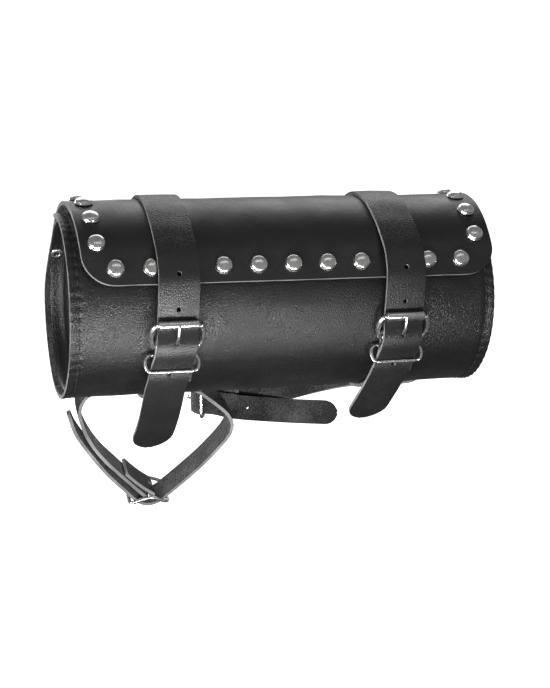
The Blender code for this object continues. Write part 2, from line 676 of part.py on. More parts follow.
def keeper(name, x):
    """A wire loop: its top bar lies in the lower strap's fold and its lower bar holds the closing strap."""
    top = lap_point(KEEPER_RADIUS, KEEPER_ANGLE, x)
    down = (outward(KEEPER_ANGLE) * math.sin(math.radians(KEEPER_TILT))
            - round_the_barrel(KEEPER_ANGLE) * math.cos(math.radians(KEEPER_TILT)))
    half = KEEPER_WIDTH / 2.0
    corner = KEEPER_DROP * KEEPER_CORNER
    in_x, in_z = (corner * share for share in KEEPER_CURVE)
    side = [(half - corner, 0.0), (half - in_x, in_z), (half, corner), (half, KEEPER_DROP - corner),
            (half - in_x, KEEPER_DROP - in_z), (half - corner, KEEPER_DROP)]
    outline = side + [(-px, pz) for px, pz in reversed(side)]
    path = [top + SIDEWAYS * px + down * pz for px, pz in outline]
    return tube(name, path, KEEPER_WIRE, NICKEL, closed=True)


CLOSURES = {"left": (LEFT_STRAP_X, LEFT_TAIL), "right": (RIGHT_STRAP_X, RIGHT_TAIL)}
buckle_straps = {}
for side, (x, tail_shape) in CLOSURES.items():
    tail = [Vector((x + drift, y, z)) for drift, y, z in tail_shape]
    piece, path = closing_strap("closing_strap_" + side, x, tail)
    centre = x - BUCKLE_SHIFT
    lower = buckle_strap("buckle_strap_" + side, centre)
    buckle_straps[side] = lower
    buckle_frame("buckle_frame_" + side, centre)
    buckle_roller("buckle_roller_" + side, centre)
    buckle_prong("buckle_prong_" + side, x - PRONG_SHIFT, lower, piece)
    keeper("keeper_" + side, x - KEEPER_SHIFT)
    pierced = lap_point(*PIERCED, x)
    for number, steps in enumerate(FREE_HOLES, start=1):
        spot, direction = along(path, pierced, steps * HOLE_PITCH)
        facing = Vector((0.0, -direction.z, direction.y)).normalized()
        cut(piece, peg(f"{piece.name}_hole_{number}", spot, facing, HOLE_RADIUS, HOLE_DEPTH))
    on_closing = flap_radius(CLOSING_RIVET_ANGLE) + GAP + STRAP_LEATHER
    tube_rivet("closing_rivet_" + side, lap_point(on_closing, CLOSING_RIVET_ANGLE, x),
               outward(CLOSING_RIVET_ANGLE), STRAP_LEATHER + GAP + LEATHER + CLOSING_RIVET_SPARE,
               [piece, flap_panel])
    doubled = 2.0 * (GAP + STRAP_LEATHER)
    tube_rivet("buckle_rivet_" + side, lap_point(BARREL_RADIUS + doubled, BUCKLE_RIVET_ANGLE, centre),
               outward(BUCKLE_RIVET_ANGLE), doubled + LEATHER, [lower, barrel_body])


# ---------------------------------------------------------------- mounting straps, hanging at the back
MOUNT_OUT = outward(MOUNT_ANGLE)
MOUNT_ACROSS = -round_the_barrel(MOUNT_ANGLE)
MOUNT_WRAP = MOUNT_BAR + GAP + MOUNT_LEATHER / 2.0
ON_STRAP = BARREL_RADIUS + MOUNT_LEATHER / 2.0 + 2.0 * GAP + STRAP_LEATHER


def hang(x, reach):
    """A point on the left loop's own plane: along the barrel, and out from its surface."""
    return MOUNT_OUT * (BARREL_RADIUS + reach) + Vector((x, 0.0, 0.0))


def round_bar(bar, radius, place, turns):
    """Points round a buckle bar at the turns, in the strap's own plane."""
    return [place(bar[0] + radius * math.cos(turn), bar[1] + radius * math.sin(turn))
            for turn in map(math.radians, turns)]


def left_mount_path():
    """From the fold-back end, round the middle bar, up and along the barrel, round and down to the tip."""
    lift = ON_STRAP - BARREL_RADIUS
    lift_off_x, lift_off = LEFT_LIFT_OFF
    riveted = [(x, lift) for x in LEFT_RIVETED_X]
    loop = LEFT_BRANCH + riveted + [(lift_off_x, lift + lift_off)] + LEFT_LOOP
    wrap = round_bar(LEFT_BAR, MOUNT_WRAP, hang, steps_between(*LEFT_WRAP, FOLD_TURNS))
    start = smooth_path([hang(*spot) for spot in LEFT_FOLD], MOUNT_SPACING)
    rest = smooth_path([wrap[-1], *[hang(*spot) for spot in loop]], MOUNT_SPACING)
    path = start + wrap + rest[1:]
    return path, [MOUNT_ACROSS] * len(path)


def level(x, y, z=RIGHT_BUCKLE_Z):
    return Vector((x, y, z))


def eased(first, second, count):
    """Width directions easing from the first to the second over the count of rows."""
    return [first.lerp(second, smoothstep(index / (count - 1))).normalized() for index in range(count)]


def right_mount_path():
    """From the fold-back end, round the middle bar, to the rivets, back behind itself and out to the tip."""
    wrap = round_bar(RIGHT_BAR, MOUNT_WRAP, level, steps_between(*RIGHT_WRAP, FOLD_TURNS))
    riveted = [MOUNT_OUT * ON_STRAP + SIDEWAYS * x for x in RIGHT_RIVETED_X]
    start = smooth_path(RIGHT_FOLD, MOUNT_SPACING)
    run = smooth_path([wrap[-1], *RIGHT_RUN, riveted[0]], MOUNT_SPACING)
    rest = smooth_path([run[-1], *riveted[1:]], MOUNT_SPACING)
    back = smooth_path([rest[-1], *RIGHT_BACK], MOUNT_SPACING)
    turning = next(index for index, point in enumerate(back) if point.x < RIGHT_UPRIGHT_X)
    path = start + wrap + run[1:] + rest[1:] + back[1:]
    across = [UPRIGHT] * (len(start) + len(wrap))
    across += eased(UPRIGHT, MOUNT_ACROSS, len(run))[1:]
    across += [MOUNT_ACROSS] * (len(rest) - 1)
    across += eased(MOUNT_ACROSS, UPRIGHT, turning + 1)[1:]
    across += [UPRIGHT] * (len(back) - turning - 1)
    return path, across


def toward(first, second, share):
    return [a + (b - a) * share for a, b in zip(first, second)]


def wire_buckle(name, ends, bar, place, across):
    """A two-window wire buckle: a bent outline with its middle bar joined on."""
    wide = across * MOUNT_FRAME_HALF_WIDTH
    narrow = across * (MOUNT_FRAME_HALF_WIDTH - MOUNT_BOW)
    first, second, centre = place(*ends[0]), place(*ends[1]), place(*bar)
    near, far = (place(*toward(end, bar, MOUNT_CORNER)) for end in ends)
    outline = [first - narrow, first + narrow, near + wide, centre + wide, far + wide,
               second + narrow, second - narrow, far - wide, centre - wide, near - wide]
    piece = tube(name, outline, MOUNT_BAR, NICKEL, closed=True)
    middle = tube(name + "_bar", [centre - wide, centre + wide], MOUNT_BAR * JOINED_WIRE, NICKEL,
                  collection=CUTTERS)
    cut(piece, middle, "UNION")
    return piece


def wire_prong(name, bar, tongue, place, slotted):
    """A thin prong: a ring round the middle bar and a tongue; the strap gets its hole and slot."""
    ring_radius = MOUNT_BAR + GAP + MOUNT_PRONG_WIRE
    ring = round_bar(bar, ring_radius, place, steps_between(0.0, 2.0 * BACK_ANGLE, RING_STEP)[:-1])
    piece = tube(name, ring, MOUNT_PRONG_WIRE, NICKEL, closed=True)
    path = smooth_path([place(*spot) for spot in tongue], PRONG_SPACING)
    line = tube(name + "_tongue", path, MOUNT_PRONG_WIRE * JOINED_WIRE, NICKEL, collection=CUTTERS)
    cut(piece, line, "UNION")
    cut(slotted, tube(name + "_hole", path, MOUNT_PRONG_WIRE + GAP, None, collection=CUTTERS))
    centre = place(*bar)
    ahead = (place(*tongue[0]) - centre).normalized()
    side = (place(bar[0], bar[1] + 1.0) - centre).cross(place(bar[0] + 1.0, bar[1]) - centre)
    slot = slot_block(name + "_slot", centre - ahead * MOUNT_SLOT_SHIFT, side, ahead,
                      (MOUNT_SLOT, MOUNT_SLOT, 2.0 * (MOUNT_PRONG_WIRE + GAP)))
    cut(slotted, slot)
    return piece


def mount_strap(side, path, across):
    rows = tip_points(path, MOUNT_WIDTH / 2.0)
    widths = across[:len(rows)] + [across[-1]] * max(len(rows) - len(across), 0)
    return strap("mount_strap_" + side, rows, widths, MOUNT_WIDTH, MOUNT_LEATHER, SUEDE, round_tip=True)


left_mount = mount_strap("left", *left_mount_path())
wire_buckle("mount_buckle_left", LEFT_BAR_ENDS, LEFT_BAR, hang, MOUNT_ACROSS)
wire_prong("mount_prong_left", LEFT_BAR, LEFT_TONGUE, hang, left_mount)
right_mount = mount_strap("right", *right_mount_path())
wire_buckle("mount_buckle_right", RIGHT_BAR_ENDS, RIGHT_BAR, level, UPRIGHT)
wire_prong("mount_prong_right", RIGHT_BAR, RIGHT_TONGUE, level, right_mount)
mount_top = ON_STRAP + MOUNT_LEATHER / 2.0
for side, target in (("left", left_mount), ("right", right_mount)):
    centre = CLOSURES[side][0] - BUCKLE_SHIFT
    for number, shift in enumerate((-MOUNT_RIVET_SHIFT, MOUNT_RIVET_SHIFT), start=1):
        top = MOUNT_OUT * mount_top + SIDEWAYS * (centre + shift)
        tube_rivet(f"mount_rivet_{side}_{number}", top, MOUNT_OUT, mount_top - BARREL_RADIUS + LEATHER,
                   [target, buckle_straps[side], barrel_body])
fold_x, fold_y = FOLD_RIVET
tube_rivet("fold_rivet_right", level(fold_x, fold_y - MOUNT_LEATHER / 2.0), -ALONG_Y,
           FOLD_RIVET_GRIP + MOUNT_LEATHER, [right_mount])
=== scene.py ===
# %% [markdown]
# A barrel-shaped leather tool roll, of the kind that straps to a motorcycle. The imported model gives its
# frame: every solid, body and joint is already in place, in metres. This script keeps that frame and makes
# the surfaces that the eye sees, one kind of piece at a time: leather, thread, straps and nickel hardware.
# Lengths are in metres throughout, and angles are in degrees.

# %% Load the frame
import math

import bmesh
import bpy
from mathutils import Matrix, Vector, noise


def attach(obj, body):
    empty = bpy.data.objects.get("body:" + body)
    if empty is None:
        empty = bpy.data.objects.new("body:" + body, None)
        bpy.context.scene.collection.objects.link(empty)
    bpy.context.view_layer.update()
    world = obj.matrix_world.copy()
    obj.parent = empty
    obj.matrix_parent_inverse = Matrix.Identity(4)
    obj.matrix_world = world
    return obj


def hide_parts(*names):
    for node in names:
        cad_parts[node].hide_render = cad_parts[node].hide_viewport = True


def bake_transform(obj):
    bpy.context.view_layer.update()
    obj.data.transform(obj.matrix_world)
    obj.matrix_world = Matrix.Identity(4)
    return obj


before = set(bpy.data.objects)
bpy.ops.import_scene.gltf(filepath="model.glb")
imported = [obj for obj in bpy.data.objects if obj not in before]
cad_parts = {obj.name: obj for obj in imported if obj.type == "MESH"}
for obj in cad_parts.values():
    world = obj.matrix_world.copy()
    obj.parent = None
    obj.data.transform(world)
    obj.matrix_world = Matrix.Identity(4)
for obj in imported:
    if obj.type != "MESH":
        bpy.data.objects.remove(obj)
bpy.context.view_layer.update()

# %% [markdown]
# A long lens from a little above and to the left, about a metre away, keeps the barrel's ends nearly round
# and its length nearly straight. A camera looks down its own -Z, so its turn comes from the sight line.

# %% The camera
CAMERA_PLACE = Vector((-0.2996, -1.0883, 0.1281))
CAMERA_AIM = Vector((0.0071, 0.0, -0.0338))
CAMERA_ROLL = math.radians(-0.25)
lens = bpy.data.cameras.new("camera")
lens.lens = 81.4
lens.sensor_width = 36.0
camera = bpy.data.objects.new("camera", lens)
bpy.context.scene.collection.objects.link(camera)
sight = (CAMERA_AIM - CAMERA_PLACE).to_track_quat("-Z", "Y").to_matrix().to_4x4()
camera.matrix_world = Matrix.Translation(CAMERA_PLACE) @ sight @ Matrix.Rotation(CAMERA_ROLL, 4, "Z")
bpy.context.scene.camera = camera
print("camera", round((CAMERA_AIM - CAMERA_PLACE).length, 3), "m from the barrel")

# %% [markdown]
# The studio is a white sweep: a floor that curves up into a wall, so that no horizon line shows. It is a
# bent strip of a few rows, long enough to reach the horizon on the viewer's side. It glows a little, so it
# stays white by itself, and it is hidden from bounced light and reflections, so only the lamps and the room
# shape the leather.

# %% The floor sweep
FLOOR_HEIGHT = -0.215
SWEEP_HALF_WIDTH = 30.0
SWEEP_PROFILE = [(-30.0, 0.0), (-0.8, 0.0), (0.8, 0.0), (1.6, 0.0), (2.2, 0.15), (2.5, 0.6), (2.6, 1.4),
                 (2.6, 4.5)]
SWEEP_WHITE = (0.93, 0.93, 0.93, 1.0)
SWEEP_GLOW = (1.0, 1.0, 1.0, 1.0)


def grid_mesh(name, rows):
    """A mesh of quads over rows of points."""
    mesh = bpy.data.meshes.new(name)
    width = len(rows[0])
    points = [point for row in rows for point in row]
    faces = []
    for row in range(len(rows) - 1):
        for column in range(width - 1):
            here = row * width + column
            faces.append((here, here + 1, here + 1 + width, here + width))
    mesh.from_pydata([tuple(point) for point in points], [], faces)
    mesh.shade_smooth()
    return mesh


def show(name, mesh, *paints):
    """Put a mesh into the scene as an object at the origin, with its materials."""
    piece = bpy.data.objects.new(name, mesh)
    bpy.context.scene.collection.objects.link(piece)
    for paint in paints:
        mesh.materials.append(paint)
    return piece


studio_white = bpy.data.materials.new("studio_white")
studio_white.use_nodes = True
studio_white.cycles.emission_sampling = "NONE"
chalk = studio_white.node_tree.nodes["Principled BSDF"]
chalk.inputs["Base Color"].default_value = SWEEP_WHITE
chalk.inputs["Roughness"].default_value = 0.9
chalk.inputs["Emission Color"].default_value = SWEEP_GLOW
chalk.inputs["Emission Strength"].default_value = 1.0
sweep_rows = [[Vector((x, y, FLOOR_HEIGHT + z)) for x in (-SWEEP_HALF_WIDTH, SWEEP_HALF_WIDTH)]
              for y, z in SWEEP_PROFILE]
sweep = show("studio_sweep", grid_mesh("studio_sweep", sweep_rows), studio_white)
sweep.visible_diffuse = False
sweep.visible_glossy = False
print("floor at", FLOOR_HEIGHT, "m")

# %% [markdown]
# Black leather shows almost nothing of its own colour. What the eye reads is the reflection of the lights,
# so their places matter more than their number. A low strip in front draws the bright band along the
# barrel's lower half, and a wide one above and behind lights the flap's top. Every lamp is a soft rectangle
# that faces the barrel, listed as its place, its width and height, and its power.

# %% Lights
LAMP_AIM = Vector((0.0, 0.0, -0.02))
LIGHTS = {
    "low_front": ((-0.08, -0.31, -0.165), (0.42, 0.025), 2.1),
    "top_back": ((0.10, 0.80, 0.85), (1.4, 0.7), 6.2),
    "left_low": ((-0.85, -0.45, -0.14), (0.4, 0.25), 8.5),
    "behind": ((-0.3, 1.2, 0.25), (0.8, 0.3), 4.0),
    "front_high": ((0.1, -0.8, 1.0), (1.2, 0.08), 0.8),
}
for name, (place, (width, height), power) in LIGHTS.items():
    lamp = bpy.data.lights.new(name, "AREA")
    lamp.shape = "RECTANGLE"
    lamp.size = width
    lamp.size_y = height
    lamp.energy = power
    light = bpy.data.objects.new(name, lamp)
    light.visible_camera = False
    bpy.context.scene.collection.objects.link(light)
    aim = (LAMP_AIM - Vector(place)).to_track_quat("-Z", "Y").to_matrix().to_4x4()
    light.matrix_world = Matrix.Translation(Vector(place)) @ aim
print(len(LIGHTS), "soft lights")

# %% [markdown]
# What is not a lamp is the room, which nickel mirrors from all sides. It is grey, lightest a little above
# the level of the eye and darker towards the floor, so that the underside stays black and the nickel keeps
# dark parts to shine against. A colour ramp reads the height of the direction that is looked in.

# %% The room's own light
ROOM_TONES = [(0.0, 0.10), (0.40, 0.16), (0.52, 0.30), (0.68, 0.30), (0.85, 0.22), (1.0, 0.20)]


def add(tree, kind, **values):
    """A shader node with its named inputs and properties set."""
    node = tree.nodes.new(kind)
    for key, value in values.items():
        if key in node.inputs:
            node.inputs[key].default_value = value
        else:
            setattr(node, key, value)
    return node


def ramp(tree, stops):
    node = tree.nodes.new("ShaderNodeValToRGB")
    elements = node.color_ramp.elements
    while len(elements) < len(stops):
        elements.new(0.5)
    for element, (place, colour) in zip(elements, stops):
        element.position = place
        element.color = (*colour, 1.0)
    return node


room = bpy.data.worlds.new("room")
room.use_nodes = True
around = room.node_tree
ways = add(around, "ShaderNodeTexCoord")
up_down = add(around, "ShaderNodeSeparateXYZ")
share_up = add(around, "ShaderNodeMapRange")
share_up.inputs["From Min"].default_value = -1.0
tones = ramp(around, [(share, (tone, tone, tone)) for share, tone in ROOM_TONES])
around.links.new(ways.outputs["Generated"], up_down.inputs["Vector"])
around.links.new(up_down.outputs["Z"], share_up.inputs["Value"])
around.links.new(share_up.outputs["Result"], tones.inputs["Fac"])
around.links.new(tones.outputs["Color"], around.nodes["Background"].inputs["Color"])
bpy.context.scene.world = room
bpy.context.scene.view_settings.view_transform = "Standard"
bpy.context.scene.view_settings.look = "None"
print("room tones", ROOM_TONES[0][1], "below to", ROOM_TONES[-1][1], "above")

# %% [markdown]
# Leather is dyed hide: black, but never one flat black. Its grain is a network of small raised cells with
# finer pores between them, and its wax shines more in some places than in others. A Voronoi texture gives
# the cells, two noises break them up, and all three drive bump and roughness on Object coordinates, so the
# grain has one real size on every piece.

# %% A leather material
WARP_DENSITY = 0.45
WARP_REACH = 0.9
PORE_DENSITY = 2.6
PATCH_DENSITY = 38.0
CELL_SHARE = 0.45
LIGHT_AT, DARK_AT = 0.35, 0.85
SHINE_FROM, SHINE_TO = 0.35, 0.95
SHINIER, DULLER = 0.07, 0.14


def leather(name, dark, light, roughness, cell, depth, pore=0.35, sheen=0.0):
    """Grained leather: cell is the size of a grain cell and depth the height of its bump, in metres."""
    paint = bpy.data.materials.new(name)
    paint.use_nodes = True
    tree = paint.node_tree
    shader = tree.nodes["Principled BSDF"]
    place = add(tree, "ShaderNodeTexCoord").outputs["Object"]
    warp = add(tree, "ShaderNodeTexNoise", Scale=WARP_DENSITY / cell, Detail=2.0)
    bent = add(tree, "ShaderNodeMix", data_type="VECTOR")
    bent.inputs["Factor"].default_value = cell * WARP_REACH
    tree.links.new(place, warp.inputs["Vector"])
    tree.links.new(place, bent.inputs["A"])
    tree.links.new(warp.outputs["Color"], bent.inputs["B"])
    cells = add(tree, "ShaderNodeTexVoronoi", feature="SMOOTH_F1", Scale=1.0 / cell, Smoothness=0.25)
    pores = add(tree, "ShaderNodeTexNoise", Scale=PORE_DENSITY / cell, Detail=3.0, Roughness=0.6)
    patches = add(tree, "ShaderNodeTexNoise", Scale=PATCH_DENSITY, Detail=4.0, Roughness=0.6)
    for texture in (cells, pores):
        tree.links.new(bent.outputs["Result"], texture.inputs["Vector"])
    tree.links.new(place, patches.inputs["Vector"])
    grain = add(tree, "ShaderNodeMath", operation="MULTIPLY_ADD")
    grain.inputs[1].default_value = pore
    tree.links.new(pores.outputs["Fac"], grain.inputs[0])
    tree.links.new(cells.outputs["Distance"], grain.inputs[2])
    lift = add(tree, "ShaderNodeBump", Strength=1.0, Distance=depth, invert=True)
    tree.links.new(grain.outputs["Value"], lift.inputs["Height"])
    tree.links.new(lift.outputs["Normal"], shader.inputs["Normal"])
    mixed = add(tree, "ShaderNodeMath", operation="MULTIPLY_ADD")
    mixed.inputs[1].default_value = CELL_SHARE
    tree.links.new(cells.outputs["Distance"], mixed.inputs[0])
    tree.links.new(patches.outputs["Fac"], mixed.inputs[2])
    tone = ramp(tree, [(LIGHT_AT, light), (DARK_AT, dark)])
    tree.links.new(mixed.outputs["Value"], tone.inputs["Fac"])
    tree.links.new(tone.outputs["Color"], shader.inputs["Base Color"])
    shine = add(tree, "ShaderNodeMapRange")
    shine.inputs["From Min"].default_value = SHINE_FROM
    shine.inputs["From Max"].default_value = SHINE_TO
    shine.inputs["To Min"].default_value = roughness - SHINIER
    shine.inputs["To Max"].default_value = roughness + DULLER
    tree.links.new(mixed.outputs["Value"], shine.inputs["Value"])
    tree.links.new(shine.outputs["Result"], shader.inputs["Roughness"])
    shader.inputs["Specular IOR Level"].default_value = 0.5
    shader.inputs["Sheen Weight"].default_value = sheen
    shader.inputs["Sheen Roughness"].default_value = 0.5
    return paint


PEBBLED = leather("pebbled_black_leather", dark=(0.004, 0.004, 0.0045), light=(0.018, 0.018, 0.019),
                  roughness=0.27, cell=0.00100, depth=0.00032)
SMOOTH = leather("smooth_flap_leather", dark=(0.006, 0.006, 0.0065), light=(0.015, 0.015, 0.016),
                 roughness=0.34, cell=0.00110, depth=0.00007)
STRAP = leather("strap_leather", dark=(0.006, 0.006, 0.0065), light=(0.018, 0.018, 0.019),
                roughness=0.29, cell=0.00095, depth=0.00020)
SUEDE = leather("napped_flesh_side", dark=(0.006, 0.006, 0.007), light=(0.090, 0.090, 0.092),
                roughness=0.86, cell=0.00120, depth=0.00070, pore=0.9, sheen=0.2)
EDGE = leather("cut_leather_edge", dark=(0.14, 0.138, 0.135), light=(0.44, 0.435, 0.42),
               roughness=0.62, cell=0.00045, depth=0.00006, pore=0.8)
print("leathers:", ", ".join(paint.name for paint in (PEBBLED, SMOOTH, STRAP, SUEDE, EDGE)))

# %% [markdown]
# The hardware is steel wire and pressed sheet with bright nickel plate. Nickel is a warm grey mirror, and
# handling leaves it with faint smears and hair scratches: a fine noise varies its tone and roughness a
# little. The thread is made as a leather of very small grain, because waxed thread shines much like one.

# %% Nickel plate and waxed thread
SMEAR_DENSITY = 420.0
SMEAR_DEPTH = 0.00004
SMEAR_AT, CLEAN_AT = 0.30, 0.62
SMEAR_TONE = 0.80
SMOOTHEST, ROUGHEST = 0.6, 1.7


def nickel(name, colour, roughness):
    paint = bpy.data.materials.new(name)
    paint.use_nodes = True
    tree = paint.node_tree
    shader = tree.nodes["Principled BSDF"]
    shader.inputs["Metallic"].default_value = 1.0
    place = add(tree, "ShaderNodeTexCoord").outputs["Object"]
    smears = add(tree, "ShaderNodeTexNoise", Scale=SMEAR_DENSITY, Detail=4.0, Roughness=0.7)
    smeared = tuple(channel * SMEAR_TONE for channel in colour)
    tone = ramp(tree, [(SMEAR_AT, smeared), (CLEAN_AT, colour)])
    shine = add(tree, "ShaderNodeMapRange")
    shine.inputs["To Min"].default_value = roughness * SMOOTHEST
    shine.inputs["To Max"].default_value = roughness * ROUGHEST
    lift = add(tree, "ShaderNodeBump", Strength=0.25, Distance=SMEAR_DEPTH)
    tree.links.new(place, smears.inputs["Vector"])
    tree.links.new(smears.outputs["Fac"], tone.inputs["Fac"])
    tree.links.new(smears.outputs["Fac"], shine.inputs["Value"])
    tree.links.new(smears.outputs["Fac"], lift.inputs["Height"])
    tree.links.new(tone.outputs["Color"], shader.inputs["Base Color"])
    tree.links.new(shine.outputs["Result"], shader.inputs["Roughness"])
    tree.links.new(lift.outputs["Normal"], shader.inputs["Normal"])
    return paint


NICKEL = nickel("nickel_plate", colour=(0.76, 0.755, 0.74), roughness=0.22)
THREAD = leather("waxed_thread", dark=(0.006, 0.006, 0.006), light=(0.022, 0.022, 0.023),
                 roughness=0.55, cell=0.00040, depth=0.00008, pore=0.8)
print("hardware finish", NICKEL.name, "and thread", THREAD.name)

# %% [markdown]
# The roll is one sheet of leather. It starts at a lip on top, runs down the front, under and up the back,
# and carries on over the lip as the flap. A place on it is named by its lap: the angle round the barrel,
# 0 at the front, 90 on top and 180 at the back, 230 to 255 underneath. From the back on, the flap's lap
# rises clear of the first one, by a smooth step.

# %% Round the barrel
TOP = 90.0
BACK = 180.0
FULL_TURN = 360.0
MM = 1000.0
BARREL_LENGTH = 0.305
BARREL_RADIUS = 0.065
LEATHER = 0.003
GAP = 0.0004
LIP_ANGLE = 96.0
HINGE_ANGLE = 130.0
FLAP_RISE = 0.009
FLAP_FALL = 0.0016
FLAP_EDGE_ANGLE = 16.5
FLAP_FRONT_HALF = 0.1475
FLAP_BACK_HALF = 0.1515
FLAP_SHIFT = 0.0040
FLAP_CORNER = 0.022
FLAP_TAPER_ANGLE = 35.0
SEAM_ANGLE = 255.0


def lap_point(radius, angle, x=0.0):
    """The point at a lap angle and a distance from the barrel's axis."""
    turn = math.radians(angle)
    return Vector((x, -radius * math.cos(turn), radius * math.sin(turn)))


def outward(angle):
    return lap_point(1.0, angle)


def round_the_barrel(angle):
    """The direction in which a lap angle grows."""
    turn = math.radians(angle)
    return Vector((0.0, math.sin(turn), math.cos(turn)))


def smoothstep(value):
    value = min(max(value, 0.0), 1.0)
    return value * value * (3.0 - 2.0 * value)


def flap_radius(angle):
    """Outer radius of the sheet on its second lap: it leaves the barrel and stands off over the lip."""
    rise = FLAP_RISE * smoothstep((BACK - angle) / (BACK - TOP))
    fall = FLAP_FALL * smoothstep((TOP - angle) / TOP)
    return BARREL_RADIUS + rise - fall


def flap_normal(angle):
    step = 0.5
    after = lap_point(flap_radius(angle + step), angle + step)
    before = lap_point(flap_radius(angle - step), angle - step)
    slope = after - before
    return Vector((0.0, -slope.z, slope.y)).normalized()


def flap_sides(angle):
    """Where the flap's two side edges are, before its front corners are rounded."""
    share = min(max((angle - FLAP_TAPER_ANGLE) / (HINGE_ANGLE - FLAP_TAPER_ANGLE), 0.0), 1.0)
    half = FLAP_FRONT_HALF + (FLAP_BACK_HALF - FLAP_FRONT_HALF) * share
    return FLAP_SHIFT - half, FLAP_SHIFT + half


def sheet_sides(angle):
    """The sheet's two side edges at any lap, with the flap's rounded corners."""
    half = BARREL_LENGTH / 2.0
    if angle >= BACK or angle < 0.0:
        return -half, half
    left, right = flap_sides(angle)
    free = smoothstep((BACK - angle) / (BACK - HINGE_ANGLE))
    left, right = -half + (left + half) * free, half + (right - half) * free
    corner_span = math.degrees(FLAP_CORNER / flap_radius(FLAP_EDGE_ANGLE))
    beyond = (FLAP_EDGE_ANGLE + corner_span - angle) / corner_span
    if beyond > 0.0:
        inset = FLAP_CORNER * (1.0 - math.sqrt(max(1.0 - min(beyond, 1.0) ** 2, 0.0)))
        left, right = left + inset, right - inset
    return left, right


print("flap stands", round(MM * (flap_radius(TOP) - BARREL_RADIUS - LEATHER), 1), "mm over the lip")

# %% [markdown]
# Studs and stitches pull the leather in. Each stud sits in a shallow dish, and each stitch in a dent with
# a small pucker between it and the next, out to the rim. A slow noise makes the hide's own unevenness.
# These are small moves of the sheet's points, made as the sheet is laid out, before it gets its thickness.

# %% Where studs and stitches are, and how they dent the sheet
STUD_SHIFT = 0.0022
STUD_PITCH = 0.0247
STUD_ROW = 11
STUD_EDGE = 0.0115
STUD_SIDE_ANGLES = (41.0, 60.0, 79.0, 98.0, 117.0)
STUD_BACK_ANGLE = 147.0
STITCH_INSET = 0.0062
STITCH_PITCH = 0.0070
STITCH_FIRST_LAP = 92.0
STITCH_LAST_LAP = -227.0
STITCH_STEP = math.degrees(STITCH_PITCH / BARREL_RADIUS)
STITCH_RUN_ON = 3.0
STITCH_LINE_DEPTH, STITCH_LINE_REACH = 0.00030, 0.0024
STITCH_DENT, STITCH_DENT_LENGTH, STITCH_DENT_WIDTH = 0.00075, 0.0017, 0.0022
PUCKER, PUCKER_REACH = 0.00060, 0.0048
STUD_DENT, STUD_DENT_REACH = 0.00055, 0.0085
STUD_NEAR_ANGLE, STUD_NEAR_X = 20.0, 0.025
FLAP_MEAN_RADIUS = 0.072
HIDE_WAVES = ((0.00055, 24.0), (0.0002, 70.0))
UNSEWN_PAST_HINGE = 2.0

row_lap = FLAP_EDGE_ANGLE + math.degrees(STUD_EDGE / flap_radius(FLAP_EDGE_ANGLE))
studs = {}
for index in range(STUD_ROW):
    row_x = STUD_SHIFT + (index - STUD_ROW // 2) * STUD_PITCH
    studs[f"stud_front_{index + 1:02d}"] = (row_x, row_lap, "flap")
for number, angle in enumerate(STUD_SIDE_ANGLES, start=1):
    studs[f"stud_left_{number}"] = (flap_sides(angle)[0] + STUD_EDGE, angle, "flap")
    studs[f"stud_right_{number}"] = (flap_sides(angle)[1] - STUD_EDGE, angle, "flap")
studs["stud_back_left"] = (flap_sides(STUD_BACK_ANGLE)[0] + STUD_EDGE, STUD_BACK_ANGLE, "barrel")
studs["stud_back_right"] = (flap_sides(STUD_BACK_ANGLE)[1] - STUD_EDGE, STUD_BACK_ANGLE, "barrel")


def bell(distance, reach):
    return math.exp(-(distance / reach) ** 2)


def stitch_dent(lap, rim):
    """How far the sheet is pulled in at a lap and a distance from its rim."""
    if lap > STITCH_FIRST_LAP + STITCH_RUN_ON:
        lap -= FULL_TURN
    if not STITCH_LAST_LAP - STITCH_RUN_ON <= lap <= STITCH_FIRST_LAP + STITCH_RUN_ON:
        return 0.0
    steps = (STITCH_FIRST_LAP - lap) / STITCH_STEP
    off = abs(steps - round(steps)) * STITCH_PITCH
    line = STITCH_LINE_DEPTH * bell(rim - STITCH_INSET, STITCH_LINE_REACH)
    dent = STITCH_DENT * bell(off, STITCH_DENT_LENGTH) * bell(rim - STITCH_INSET, STITCH_DENT_WIDTH)
    between = 0.5 - 0.5 * math.cos(2.0 * math.pi * off / STITCH_PITCH)
    return line + dent - PUCKER * between * bell(rim, PUCKER_REACH)


def stud_dent(x, angle):
    """How far the studs near a place press the flap in."""
    depth = 0.0
    for stud_x, lap, _ in studs.values():
        if abs(angle - lap) < STUD_NEAR_ANGLE and abs(x - stud_x) < STUD_NEAR_X:
            away = math.hypot(x - stud_x, math.radians(angle - lap) * FLAP_MEAN_RADIUS)
            depth += STUD_DENT * bell(away, STUD_DENT_REACH)
    return depth


def sheet_point(angle, share, on_flap):
    """A point of the sheet's outer face, at a lap angle and a share of the way from left to right."""
    left, right = sheet_sides(angle) if on_flap else (-BARREL_LENGTH / 2.0, BARREL_LENGTH / 2.0)
    x = left + (right - left) * share
    rim = min(x - left, right - x)
    radius = flap_radius(angle) if on_flap and angle < BACK else BARREL_RADIUS
    spot = lap_point(BARREL_RADIUS, angle, x)
    radius += sum(height * noise.noise(spot * density) for height, density in HIDE_WAVES)
    if on_flap and angle < BACK:
        radius -= stud_dent(x, angle)
    if not on_flap or angle >= HINGE_ANGLE + UNSEWN_PAST_HINGE:
        radius -= stitch_dent(angle, rim)
    return lap_point(radius, angle, x)


print(len(studs), "studs; stitches every", STITCH_PITCH * MM, "mm")
